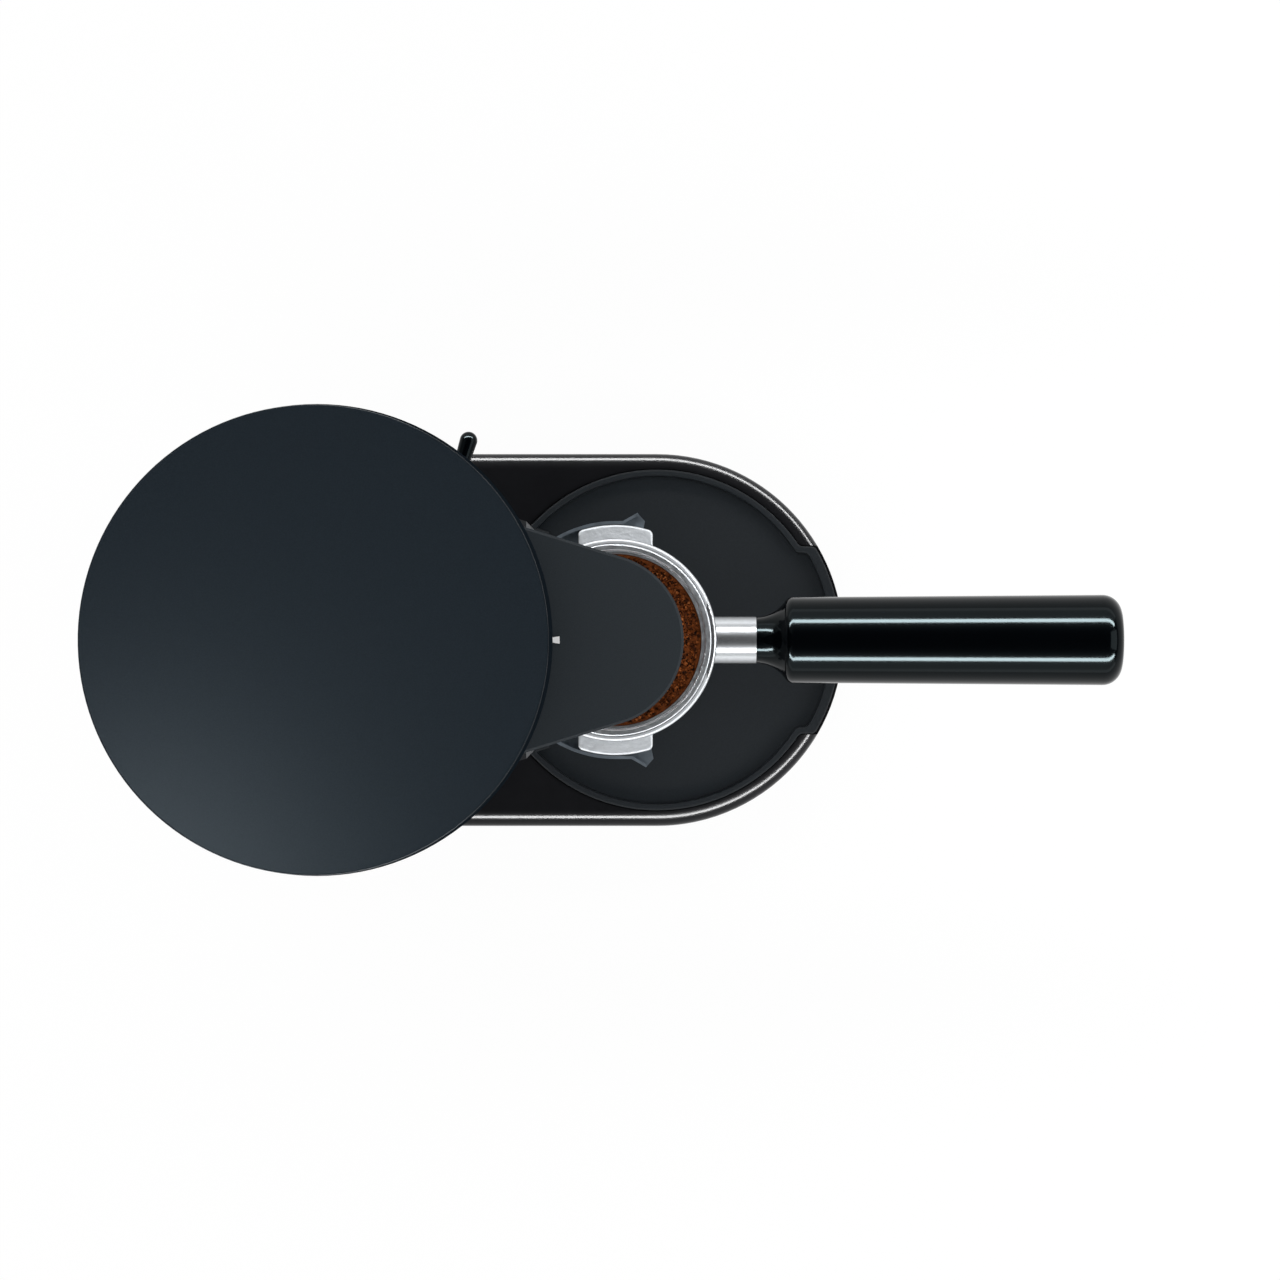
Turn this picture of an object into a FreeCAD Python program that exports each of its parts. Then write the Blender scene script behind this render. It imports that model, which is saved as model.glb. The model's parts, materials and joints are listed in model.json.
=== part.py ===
"""Burr coffee grinder with its portafilter: one STEP file for each piece."""
import FreeCAD
import Part
import math
import os

# All sizes are millimetres. X points to the front, Z up, and X = 0 is the burr axis
# until the last step, which moves the middle of the whole outline to X = 0.

# Fits
RUN_FIT = 0.05
SLIDE_GAP = 0.4
SEAT_FIT = 0.1
OVERCUT = 1.0

# Base
BASE_W = 137.0
AXIS_TO_TRAY = 100.0
BASE_H = 22.0
BASE_EDGE_R = 6.0
BASE_WALL = 3.5
BASE_ROOF = 3.5
PLATE_T = 4.0
FOOT_R = 9.0
FOOT_H = 3.0
FOOT_IN = 15.0
FOOT_EDGE_R = 0.8
FOOT_REAR_ANGLE = 135.0
FOOT_FRONT_ANGLE = 50.0
BASE_SCREW_IN = 13.0
BASE_SCREW_REAR_ANGLE = 105.0
BASE_SCREW_FRONT_ANGLE = 75.0
BOSS_R = 5.0
GLAND_R = 6.5
GLAND_BORE_R = 3.6
GLAND_BORE_L = 11.0
GLAND_PROUD = 2.0
GLAND_FLOOR_T = 2.0

# Catch tray
TRAY_SIDE = 6.0
TRAY_TAB_SIDE = 1.3
TRAY_TAB_W = 68.6
TRAY_RIM_W = 2.4
TRAY_TAB_RIM_W = 3.6
TRAY_SEAT_DEPTH = 6.0
TRAY_RISE = 1.8
TRAY_FLOOR_T = 2.0
TRAY_EDGE_R = 0.7
TRAY_CORNER_R = 2.6

# Column and head, which share one teardrop plan
BODY_R = 51.0
NOSE_R = 27.4
NOSE_REACH = 80.2
COLUMN_H = 160.0
HEAD_H = 65.0
HEAD_WALL = 2.8
HEAD_EDGE_R = 2.0
COVER_T = 3.0
COVER_EDGE = 0.8
COVER_HOLE_GAP = 3.0
WRAP_T = 1.8
WRAP_FRONT_X = 57.8
WRAP_DROP = 5.0
PANEL_X = 44.0
PANEL_T = 3.0
VENT_COUNT = 7
VENT_PITCH = 7.0
VENT_H = 2.6
VENT_W = 46.0
VENT_UP = 22.0

# Grinding set
CHAMBER_R = 34.0
CHAMBER_WALL = 3.5
CHAMBER_FLOOR_T = 4.0
CHAMBER_H = 56.0
CHAMBER_STEP = 2.0
CARRIER_WALL = 8.0
CARRIER_H = 40.0
CARRIER_UP = 11.0
CARRIER_SHOULDER_T = 4.0
RING_BURR_R = 25.0
RING_BURR_H = 18.0
CONE_R = 18.6
CONE_TOP_R = 9.0
CONE_H = 30.0
CONE_FLUTES = 18
BURR_GAP = 0.7
FLUTE_W = 1.8
FLUTE_DEPTH = 2.0
FLUTE_TURN = 40.0
FLUTE_SLANT = 10.0
RING_CUT_W = 1.4
RING_CUT_DEPTH = 2.2
SWEEPER_T = 2.0
SWEEPER_VANE_H = 4.0
SWEEPER_VANE_T = 2.4
SWEEPER_VANES = 6
SWEEPER_GAP = 1.5
SWEEPER_LIFT = 1.0
SHAFT_R = 4.0
BEARING_R = 11.0
BEARING_H = 7.0
BEARING_WALL = 3.0
BEARING_FLOOR_T = 2.0
SHAFT_HOLE_GAP = 1.0
SHAFT_PROUD = 1.0
NUT_R = 6.5
NUT_H = 5.0

# Drive
GEAR_MODULE = 0.7
GEAR_TEETH = 54
PINION_TEETH = 18
GEAR_W = 8.0
GEAR_BACKLASH = 0.14
GEAR_PLATE_T = 6.0
GEAR_SPACE = 40.0
GEAR_LIFT = 5.0
PRESSURE_ANGLE = 20.0
PINION_OVER = 1.0
PLATE_R = 46.0
POST_R = 4.0
POST_IN = 4.0
POST_ANGLE = 75.0
POST_HOLE_DEPTH = 12.0
POST_SCREW_DEPTH = 10.0
MOTOR_R = 22.2
MOTOR_L = 65.0
MOTOR_CAN_T = 1.5
MOTOR_CAP_H = 6.0
MOTOR_SHAFT_R = 2.5
MOTOR_SHAFT_PROUD = 2.0
MOTOR_HOLE_GAP = 3.0
MOTOR_BUSH_H = 5.0
MOTOR_PLUG_T = 3.0
MOTOR_PLUG_H = 4.0
MOTOR_SCREW_SPAN = 28.0
MAGNET_T = 3.4
MAGNET_UP = 12.0
MAGNET_L = 43.0
MAGNET_SPLIT = 12.0
ARMATURE_GAP = 0.6
ARMATURE_IN = 3.0
ARMATURE_SLOTS = 5
ARMATURE_SLOT_W = 2.4
COMMUTATOR_R = 8.0
COMMUTATOR_UP = 6.0
COMMUTATOR_H = 8.0
SCREW_R = 1.9
SCREW_HEAD_R = 3.4
SCREW_HEAD_H = 2.5
SCREW_SINK = 0.3
SCREW_SPACE = 1.0

# Outlet
SPOUT_BORE_R = 12.0
SPOUT_WALL = 2.5
SPOUT_DROP = 37.0
SPOUT_BACK = 2.0
SPOUT_FLANGE_W = 3.0
SPOUT_FLANGE_T = 2.0
CHUTE_H = 12.0
CHUTE_WALL = 2.0
CHUTE_SINK = 1.0

# Hopper and lid
HOPPER_R = 68.2
HOPPER_WALL = 2.4
HOPPER_TAPER = 1.6
HOPPER_H = 93.0
FUNNEL_H = 27.5
FUNNEL_T = 3.5
FUNNEL_RIM_T = 2.5
LEDGE_W = 2.8
THROAT_DROP = 2.0
NECK_BORE_R = 22.0
NECK_WALL = 2.6
NECK_SPACE = 5.0
DIAL_INSET = 2.4
DIAL_H = 12.0
DIAL_LIFT = 1.0
DIAL_GRIPS = 48
GRIP_R = 1.1
GRIP_H = 6.5
DIAL_HOLE_GAP = 5.0
DIAL_WALL = 2.4
DIAL_FLOOR_T = 3.5
DIAL_LIP_H = 3.0
KEY_W = 6.0
KEY_H = 8.0
KEY_OUT = 2.6
KEY_LIFT = 1.0
LID_H = 13.7
LID_T = 2.6
LID_EDGE_R = 0.5
LID_OVER = 0.2
LID_DRAFT = 0.9
LID_PLUG_H = 6.0
LID_PLUG_GAP = 1.6
SEAL_H = 3.0
MARK_GAP = 0.5
MARK_LEN = 2.1
MARK_W = 2.35
MARK_T = 0.4

# Portafilter and fork
RING_R = 35.0
RING_X = 85.2
RING_H = 16.0
RING_UP = 79.0
CUP_R = 33.0
CUP_SPACE = 3.0
CUP_CONE_H = 12.0
BASKET_R = 29.8
BASKET_T = 0.8
BASKET_RIM_W = 3.5
BASKET_DEPTH = 26.0
BASKET_SEAT = 1.8
BASKET_PROUD = 0.4
BASKET_LIP = 0.9
BASKET_EDGE_R = 0.7
BASKET_CORNER_W = 3.0
BASKET_CORNER_H = 2.0
RING_EDGE_R = 1.0
LUG_SPAN = 80.0
LUG_W = 25.9
LUG_H = 6.0
LUG_CORNER_R = 2.0
LUG_EDGE_R = 0.8
NECK_R = 8.3
NECK_L = 13.8
NECK_UP = 4.0
HANDLE_L = 127.0
HANDLE_R = 15.7
HANDLE_FRONT_R = 14.9
FLARE_L = 9.8
FLARE_R = 13.0
FLARE_STEP = 0.4
FLARE_CURVE = 1.6
SHOULDER_L = 3.4
SHOULDER_CURVE = 1.5
STUD_R = 4.0
STUD_IN = 6.0
STUD_OUT = 34.0
COFFEE_UP = 2.5
COFFEE_DROP = 6.5
COFFEE_HEAP = 4.0
POUR_H = 22.0
POUR_SPREAD = 15.0
POUR_R = 5.5
POUR_BORE_R = 3.6
OUTLET_R = 10.0
OUTLET_L = 8.0
COLLAR_R = 13.0
COLLAR_H = 8.0
COLLAR_FLOOR_T = 2.0
FORK_T = 4.0
FORK_ARM_W = 7.6
FORK_TIP_W = 2.9
FORK_TIP_L = 10.2
FORK_RIGHT_EXTRA = 3.0
FORK_LIP_ANGLE = 143.0
FORK_LIP_H = 3.4
FORK_LIP_T = 1.1
FORK_BACK_H = 28.0
FORK_BACK_T = 3.0
FORK_BACK_W = 60.0

# Controls
BUTTON_R = 7.0
BUTTON_STROKE = 3.0
BUTTON_UP = 8.0
TOGGLE_DROP = 20.0
TOGGLE_X = 30.0
TOGGLE_REACH = 24.6
TOGGLE_TIP_R = 2.95
TOGGLE_ROOT_R = 2.0
TOGGLE_BALL_R = 3.2
TOGGLE_PIN_R = 1.2
TOGGLE_PIN_L = 10.0
TOGGLE_PIVOT = 2.0
TOGGLE_TAIL_R = 1.2
TOGGLE_TAIL_L = 7.0
TOGGLE_NUT_T = 2.4
TOGGLE_BUSH_R = 5.8
TOGGLE_BUSH_L = 7.0
TOGGLE_BODY_W = 15.0
TOGGLE_BODY_H = 27.0
TOGGLE_BODY_D = 20.0
SWITCH_H = 10.0
SWITCH_L = 14.0
SWITCH_ARM_T = 2.5
SWITCH_SIDE = 3.5
PLUNGER_R = 1.5
PLUNGER_L = 2.2
BUTTON_FLANGE_T = 3.0
BUTTON_FLANGE_W = 2.5
BUTTON_EDGE_R = 1.2
BOARD_W = 50.0
BOARD_H = 52.0
BOARD_T = 1.6
BOARD_UP = 15.0
BOARD_OFF = 6.0
BOARD_EDGE = 4.0
RELAY_L = 15.0

# Levels and places that follow from the sizes above
BASE_R = BASE_W / 2
BASE_TOP = FOOT_H + BASE_H
TRAY_SEAT = BASE_TOP - TRAY_SEAT_DEPTH
TRAY_R = BASE_R - TRAY_SIDE
TRAY_TAB_R = BASE_R - TRAY_TAB_SIDE
HEAD_BOTTOM = BASE_TOP + COLUMN_H
HEAD_TOP = HEAD_BOTTOM + HEAD_H
COVER_BOTTOM = HEAD_TOP - COVER_T
SIDE_ANGLE = math.asin((BODY_R - NOSE_R) / NOSE_REACH)
CHAMBER_BOTTOM = HEAD_BOTTOM
CHAMBER_FLOOR = CHAMBER_BOTTOM + CHAMBER_FLOOR_T
CHAMBER_TOP = CHAMBER_BOTTOM + CHAMBER_H
SWEEPER_Z = CHAMBER_FLOOR + SWEEPER_LIFT
CONE_Z = SWEEPER_Z + SWEEPER_T
CARRIER_R = RING_BURR_R + CARRIER_WALL
CARRIER_Z = CONE_Z + CARRIER_UP
CARRIER_SHOULDER = CARRIER_Z + RING_BURR_H + CARRIER_SHOULDER_T
CARRIER_TOP = CARRIER_Z + CARRIER_H
GEAR_PLATE_TOP = CHAMBER_BOTTOM - GEAR_SPACE
GEAR_PLATE_Z = GEAR_PLATE_TOP - GEAR_PLATE_T
GEAR_Z = GEAR_PLATE_TOP + GEAR_LIFT
BEARING_TOP = GEAR_PLATE_Z + BEARING_FLOOR_T + BEARING_H
MOTOR_X = -GEAR_MODULE * (GEAR_TEETH + PINION_TEETH) / 2
MOTOR_BOTTOM = GEAR_PLATE_Z - MOTOR_L
POST_CIRCLE = PLATE_R - POST_IN
SPOUT_X = RING_X - SPOUT_BACK
SPOUT_R = SPOUT_BORE_R + SPOUT_WALL
CHUTE_Z = CHAMBER_FLOOR - CHUTE_SINK
DIAL_R = HOPPER_R - DIAL_INSET
DIAL_Z = HEAD_TOP + DIAL_LIFT
HOPPER_Z = DIAL_Z + DIAL_H
HOPPER_TOP = HOPPER_Z + HOPPER_H
HOPPER_BORE_R = HOPPER_R - HOPPER_WALL
LOW_BORE_R = HOPPER_BORE_R - HOPPER_TAPER
SKIRT_R = LOW_BORE_R - LEDGE_W
THROAT_Z = HOPPER_Z - THROAT_DROP
LEDGE_Z = THROAT_Z + FUNNEL_H - FUNNEL_RIM_T
NECK_OUT_R = NECK_BORE_R + NECK_WALL
NECK_BOTTOM = CARRIER_SHOULDER + NECK_SPACE
LID_Z = HOPPER_TOP + SLIDE_GAP
RING_BOTTOM = BASE_TOP + RING_UP
RING_TOP = RING_BOTTOM + RING_H
CUP_FLOOR = RING_TOP - BASKET_DEPTH - CUP_SPACE
OUTLET_TOP = CUP_FLOOR - CUP_CONE_H
OUTLET_BOTTOM = OUTLET_TOP - OUTLET_L
HANDLE_Z = RING_BOTTOM + NECK_UP
NECK_END = RING_X + RING_R + NECK_L
HANDLE_END = NECK_END + HANDLE_L
FORK_TOP = RING_BOTTOM - SLIDE_GAP
FORK_SLOT_R = CUP_R + 2 * SLIDE_GAP
FORK_R = FORK_SLOT_R + FORK_ARM_W
BUTTON_Z = RING_BOTTOM + BUTTON_UP
TOGGLE_Z = HEAD_BOTTOM - TOGGLE_DROP
BUTTON_TIP = RING_X - RING_R - SLIDE_GAP
REAR_X = -BASE_R - GLAND_PROUD
GLAND_Z = (FOOT_H + PLATE_T + BASE_TOP - BASE_ROOF) / 2
TRAY_GAP = SEAT_FIT + SLIDE_GAP
TRAY_ROOF = TRAY_SEAT - BASE_ROOF
MID_X = (REAR_X + HANDLE_END) / 2


def vec(x, y, z):
    return FreeCAD.Vector(x, y, z)


def cyl(r, z0, z1, x=0.0, y=0.0):
    return Part.makeCylinder(r, z1 - z0, vec(x, y, z0))


def tube(outer, inner, z0, z1, x=0.0, y=0.0):
    return cyl(outer, z0, z1, x, y).cut(cyl(inner, z0, z1, x, y))


def rod_x(r, x0, x1, y, z):
    return Part.makeCylinder(r, x1 - x0, vec(x0, y, z), vec(1, 0, 0))


def block(x0, x1, y0, y1, z0, z1):
    return Part.makeBox(x1 - x0, y1 - y0, z1 - z0, vec(x0, y0, z0))


def fuse(shapes):
    return shapes[0].multiFuse(shapes[1:]).removeSplitter()


def cut_all(shape, tools):
    return shape.cut(Part.makeCompound(tools))


def polygon(points):
    corners = [vec(*p) for p in points]
    return Part.Face(Part.makePolygon(corners + corners[:1]))


def spin(profile, x=0.0):
    """Turn a closed (radius, height) outline about the upright line at x."""
    face = polygon([(x + r, 0, z) for r, z in profile])
    return face.revolve(vec(x, 0, 0), vec(0, 0, 1), 360)


def arc(a, b, c):
    return Part.Arc(a, b, c).toShape()


def line(a, b):
    return Part.makeLine(a, b)


def face_of(edges):
    return Part.Face(Part.Wire(edges))


def lift(face, z1):
    """Raise a flat outline up to the level z1."""
    return face.extrude(vec(0, 0, z1 - face.BoundBox.ZMin))


def round_at(shape, radius, z):
    """Round the outer edges that lie at the level z."""
    edges = []
    for edge in shape.Edges:
        box = edge.BoundBox
        if abs(box.ZMin - z) < 1e-6 and abs(box.ZMax - z) < 1e-6:
            edges.append(edge)
    return shape.makeFillet(radius, edges)


def polar(r, degrees):
    turn = math.radians(degrees)
    return r * math.cos(turn), r * math.sin(turn)


def teardrop(grow, z):
    """Plan of the head: a large rear circle and a nose circle with flat sides."""
    rear = BODY_R + grow
    nose = NOSE_R + grow
    sx = math.sin(SIDE_ANGLE)
    sy = math.cos(SIDE_ANGLE)
    a = vec(rear * sx, rear * sy, z)
    b = vec(NOSE_REACH + nose * sx, nose * sy, z)
    c = vec(b.x, -b.y, z)
    d = vec(a.x, -a.y, z)
    front = arc(b, vec(NOSE_REACH + nose, 0, z), c)
    back = arc(d, vec(-rear, 0, z), a)
    return face_of([line(a, b), front, line(c, d), back])


def stadium(shrink, z):
    r = BASE_R - shrink
    a = vec(0, r, z)
    b = vec(AXIS_TO_TRAY, r, z)
    c = vec(AXIS_TO_TRAY, -r, z)
    d = vec(0, -r, z)
    front = arc(b, vec(AXIS_TO_TRAY + r, 0, z), c)
    back = arc(d, vec(-r, 0, z), a)
    return face_of([line(a, b), front, line(c, d), back])


def tray_plan(r, tab_r, half, gap, z):
    """A circle with a finger tab across its front; its back follows the column at a gap."""
    tab_x = AXIS_TO_TRAY + math.sqrt(tab_r ** 2 - half ** 2)
    side_x = AXIS_TO_TRAY + math.sqrt(r ** 2 - half ** 2)
    back_x = WRAP_FRONT_X + gap
    reach = (BODY_R + WRAP_T + gap) / math.cos(SIDE_ANGLE)
    lean = math.tan(SIDE_ANGLE)
    back_y = reach - lean * back_x
    square = 1 + lean ** 2
    middle = (AXIS_TO_TRAY + reach * lean) / square
    rest = (AXIS_TO_TRAY ** 2 + reach ** 2 - r ** 2) / square
    horn_x = middle - math.sqrt(middle ** 2 - rest)
    horn_y = reach - lean * horn_x
    right = [vec(tab_x, -half, z), vec(side_x, -half, z), vec(horn_x, -horn_y, z), vec(back_x, -back_y, z)]
    left = [vec(p.x, -p.y, z) for p in right]
    front = arc(right[0], vec(AXIS_TO_TRAY + tab_r, 0, z), left[0])
    left_side = arc(left[1], vec(AXIS_TO_TRAY, r, z), left[2])
    right_side = arc(right[2], vec(AXIS_TO_TRAY, -r, z), right[1])
    return face_of([
        front, line(left[0], left[1]), left_side, line(left[2], left[3]), line(left[3], right[3]),
        line(right[3], right[2]), right_side, line(right[1], right[0])])


def round_tab(tray, radius):
    """Round the upright corners at both sides of the finger tab."""
    upright = []
    for edge in tray.Edges:
        box = edge.BoundBox
        if box.ZLength > radius and box.XLength < 1e-6 and box.XMin > AXIS_TO_TRAY:
            upright.append(edge)
    return tray.makeFillet(radius, upright)


def base_points(inset, rear_angle, front_angle):
    """Four places near the corners of the base, the same distance in from its edge."""
    rear = polar(BASE_R - inset, rear_angle)
    front = polar(BASE_R - inset, front_angle)
    front_x = AXIS_TO_TRAY + front[0]
    return [(rear[0], rear[1]), (rear[0], -rear[1]), (front_x, front[1]), (front_x, -front[1])]


def base_screw_points():
    return base_points(BASE_SCREW_IN, BASE_SCREW_REAR_ANGLE, BASE_SCREW_FRONT_ANGLE)


def screw(z_head, z_tip, x, y, up):
    """A plain pan head screw; its head lies above or below z_head."""
    head_end = z_head + (SCREW_HEAD_H if up else -SCREW_HEAD_H)
    head = cyl(SCREW_HEAD_R, min(z_head, head_end), max(z_head, head_end), x, y)
    shank = cyl(SCREW_R, min(z_head, z_tip), max(z_head, z_tip), x, y)
    return fuse([head, shank])


# Base pieces

def base_screw_levels():
    head = FOOT_H + SCREW_HEAD_H + SCREW_SINK
    return head, TRAY_ROOF - SCREW_SPACE


def base_body():
    body = lift(stadium(0, FOOT_H), BASE_TOP)
    body = round_at(body, BASE_EDGE_R, BASE_TOP)
    body = body.cut(lift(stadium(BASE_WALL, FOOT_H), TRAY_ROOF))
    rear = lift(stadium(BASE_WALL, FOOT_H), BASE_TOP - BASE_ROOF)
    rear = rear.common(block(-BASE_R, PANEL_X - BASE_WALL, -BASE_R, BASE_R, FOOT_H, BASE_TOP))
    body = body.cut(rear)
    half = TRAY_TAB_W / 2 + SLIDE_GAP
    seat = tray_plan(TRAY_R + SLIDE_GAP, BASE_R + OVERCUT, half, SEAT_FIT, TRAY_SEAT)
    body = body.cut(round_tab(lift(seat, BASE_TOP + OVERCUT), TRAY_CORNER_R - SLIDE_GAP))
    bosses = []
    for x, y in base_screw_points():
        roof = BASE_TOP - BASE_ROOF if x < 0 else TRAY_ROOF
        bosses.append(cyl(BOSS_R, FOOT_H + PLATE_T, roof, x, y))
    body = fuse([body] + bosses)
    tip = base_screw_levels()[1]
    holes = [cyl(SCREW_R, FOOT_H, tip, x, y) for x, y in base_screw_points()]
    holes.append(rod_x(GLAND_R, REAR_X, -BASE_R + 3 * BASE_WALL, 0, GLAND_Z))
    return cut_all(body, holes)


def base_plate():
    plate = lift(stadium(BASE_WALL + SEAT_FIT, FOOT_H), FOOT_H + PLATE_T)
    head = base_screw_levels()[0]
    holes = []
    for x, y in base_screw_points():
        holes.append(cyl(SCREW_R, FOOT_H, FOOT_H + PLATE_T, x, y))
        holes.append(cyl(SCREW_HEAD_R + SEAT_FIT, FOOT_H, head, x, y))
    return cut_all(plate, holes)


def base_screws():
    head, tip = base_screw_levels()
    return Part.makeCompound([screw(head, tip, x, y, False) for x, y in base_screw_points()])


def rubber_feet():
    feet = []
    for x, y in base_points(FOOT_IN, FOOT_REAR_ANGLE, FOOT_FRONT_ANGLE):
        foot = cyl(FOOT_R, 0, FOOT_H, x, y)
        feet.append(round_at(foot, FOOT_EDGE_R, 0))
    return Part.makeCompound(feet)


def cord_gland():
    body = rod_x(GLAND_R, REAR_X, REAR_X + GLAND_BORE_L + GLAND_FLOOR_T, 0, GLAND_Z)
    return body.cut(rod_x(GLAND_BORE_R, REAR_X, REAR_X + GLAND_BORE_L, 0, GLAND_Z))


def drip_tray():
    bottom = TRAY_SEAT + SLIDE_GAP
    top = BASE_TOP + TRAY_RISE
    half = TRAY_TAB_W / 2
    tray = lift(tray_plan(TRAY_R, TRAY_TAB_R, half, TRAY_GAP, bottom), top)
    tray = round_tab(tray, TRAY_CORNER_R)
    inner_r = TRAY_R - TRAY_RIM_W
    inner_tab = TRAY_TAB_R - TRAY_TAB_RIM_W
    floor = bottom + TRAY_FLOOR_T
    inside = tray_plan(inner_r, inner_tab, half - TRAY_RIM_W, TRAY_GAP + TRAY_RIM_W, floor)
    tray = tray.cut(round_tab(lift(inside, top + OVERCUT), TRAY_CORNER_R))
    return round_at(tray, TRAY_EDGE_R, top)


# Column and head pieces

def body_wrap():
    top = HEAD_TOP - WRAP_DROP
    wrap = lift(teardrop(WRAP_T, BASE_TOP), top).cut(lift(teardrop(0, BASE_TOP), top))
    reach = BODY_R + NOSE_REACH
    wrap = wrap.cut(block(WRAP_FRONT_X, WRAP_FRONT_X + reach, -reach, reach, BASE_TOP, top))
    tools = []
    for i in range(VENT_COUNT):
        z = BASE_TOP + VENT_UP + i * VENT_PITCH
        tools.append(block(-BODY_R - 2 * WRAP_T, -BODY_R / 2, -VENT_W / 2, VENT_W / 2, z, z + VENT_H))
    tools.append(on_side(cyl(TOGGLE_BUSH_R + SEAT_FIT, -WRAP_T - OVERCUT, OVERCUT)))
    return cut_all(wrap, tools)


def panel_prism(x0, x1, z0, z1):
    plan = lift(teardrop(-SEAT_FIT, z0), z1)
    reach = BODY_R + NOSE_REACH
    return plan.common(block(x0, x1, -reach, reach, z0, z1))


def front_panel():
    rear = PANEL_X - PANEL_T
    panel = panel_prism(rear, PANEL_X, BASE_TOP, HEAD_BOTTOM)
    pieces = [panel]
    half_h = SWITCH_H / 2
    for y0 in (switch_half(), -switch_half() - SWITCH_ARM_T):
        pieces.append(block(switch_x(), rear, y0, y0 + SWITCH_ARM_T, BUTTON_Z - half_h, BUTTON_Z + half_h))
    for y, z in board_points():
        pieces.append(rod_x(BOARD_EDGE * 0.75, board_x(), rear, y, z))
    panel = fuse(pieces)
    holes = [rod_x(BUTTON_R + SLIDE_GAP, rear, PANEL_X, 0, BUTTON_Z)]
    for y, z in fork_screw_points():
        holes.append(rod_x(SCREW_R, rear, PANEL_X, y, z))
    return cut_all(panel, holes)


def head_shell():
    outer = round_at(lift(teardrop(-SEAT_FIT, HEAD_BOTTOM), COVER_BOTTOM), HEAD_EDGE_R, HEAD_BOTTOM)
    inner = lift(teardrop(-SEAT_FIT - HEAD_WALL, CHUTE_Z), COVER_BOTTOM)
    shell = outer.cut(inner)
    well = BODY_R - SEAT_FIT - HEAD_WALL
    tools = [cyl(well, HEAD_BOTTOM, CHUTE_Z)]
    tools.append(cyl(SPOUT_R + SEAT_FIT, HEAD_BOTTOM, CHUTE_Z, SPOUT_X))
    return cut_all(shell, tools)


def nose_cover():
    cover = lift(teardrop(-SEAT_FIT, COVER_BOTTOM), HEAD_TOP)
    edges = [e for e in cover.Edges if e.BoundBox.ZMin > HEAD_TOP - 1e-6]
    cover = cover.makeChamfer(COVER_EDGE, edges)
    return cover.cut(cyl(CARRIER_R + COVER_HOLE_GAP, COVER_BOTTOM, HEAD_TOP))


def index_mark():
    x0 = DIAL_R + MARK_GAP
    narrow = MARK_W * 0.35
    wide = MARK_W / 2
    face = polygon([
        (x0, -narrow, HEAD_TOP), (x0 + MARK_LEN, -wide, HEAD_TOP),
        (x0 + MARK_LEN, wide, HEAD_TOP), (x0, narrow, HEAD_TOP)])
    return lift(face, HEAD_TOP + MARK_T)


def outlet_spout():
    bottom = HEAD_BOTTOM - SPOUT_DROP
    tip = SPOUT_BORE_R + SPOUT_WALL * 0.6
    flange = SPOUT_R + SPOUT_FLANGE_W
    under = HEAD_BOTTOM - SPOUT_FLANGE_T
    return spin([
        (SPOUT_BORE_R, bottom), (tip, bottom), (SPOUT_R, bottom + SPOUT_DROP * 0.6),
        (SPOUT_R, under), (flange, under), (flange, HEAD_BOTTOM),
        (SPOUT_R, HEAD_BOTTOM), (SPOUT_R, CHUTE_Z), (SPOUT_BORE_R, CHUTE_Z)], SPOUT_X)


def outlet_chute():
    """A covered duct from the chamber window to the spout."""
    half = SPOUT_BORE_R + CHUTE_WALL
    top = CHUTE_Z + CHUTE_H + 2 * CHUTE_WALL
    duct = block(0, SPOUT_X, -half, half, CHUTE_Z, top)
    duct = fuse([duct, cyl(half, CHUTE_Z, top, SPOUT_X)])
    floor = CHUTE_Z + CHUTE_WALL
    inside = block(0, SPOUT_X, -SPOUT_BORE_R, SPOUT_BORE_R, floor, floor + CHUTE_H)
    inside = fuse([inside, cyl(SPOUT_BORE_R, CHUTE_Z, floor + CHUTE_H, SPOUT_X)])
    return duct.cut(inside).cut(cyl(CHAMBER_R + CHAMBER_WALL + SEAT_FIT, CHUTE_Z - OVERCUT, top + OVERCUT))


# Grinding pieces

def grind_chamber():
    bore = CARRIER_R + RUN_FIT
    step = CARRIER_Z - CHAMBER_STEP
    outer = CHAMBER_R + CHAMBER_WALL
    hole = SHAFT_R + SHAFT_HOLE_GAP
    boss = BEARING_R + BEARING_WALL
    boss_z = CHAMBER_BOTTOM - BEARING_H
    body = spin([
        (hole, CHAMBER_BOTTOM), (BEARING_R, CHAMBER_BOTTOM), (BEARING_R, boss_z),
        (boss, boss_z), (boss, CHAMBER_BOTTOM), (PLATE_R, CHAMBER_BOTTOM),
        (PLATE_R, CHUTE_Z), (outer, CHUTE_Z), (outer, CHAMBER_TOP),
        (bore, CHAMBER_TOP), (bore, step), (CHAMBER_R, step), (CHAMBER_R, CHAMBER_FLOOR),
        (hole, CHAMBER_FLOOR)])
    floor = CHUTE_Z + CHUTE_WALL
    window = block(0, outer + OVERCUT, -SPOUT_BORE_R, SPOUT_BORE_R, floor, step)
    tools = [window.cut(cyl(CHAMBER_R, floor, step))]
    for x, y in post_points():
        tools.append(cyl(SCREW_R, CHAMBER_BOTTOM, CHAMBER_FLOOR, x, y))
    return cut_all(body, tools)


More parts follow.
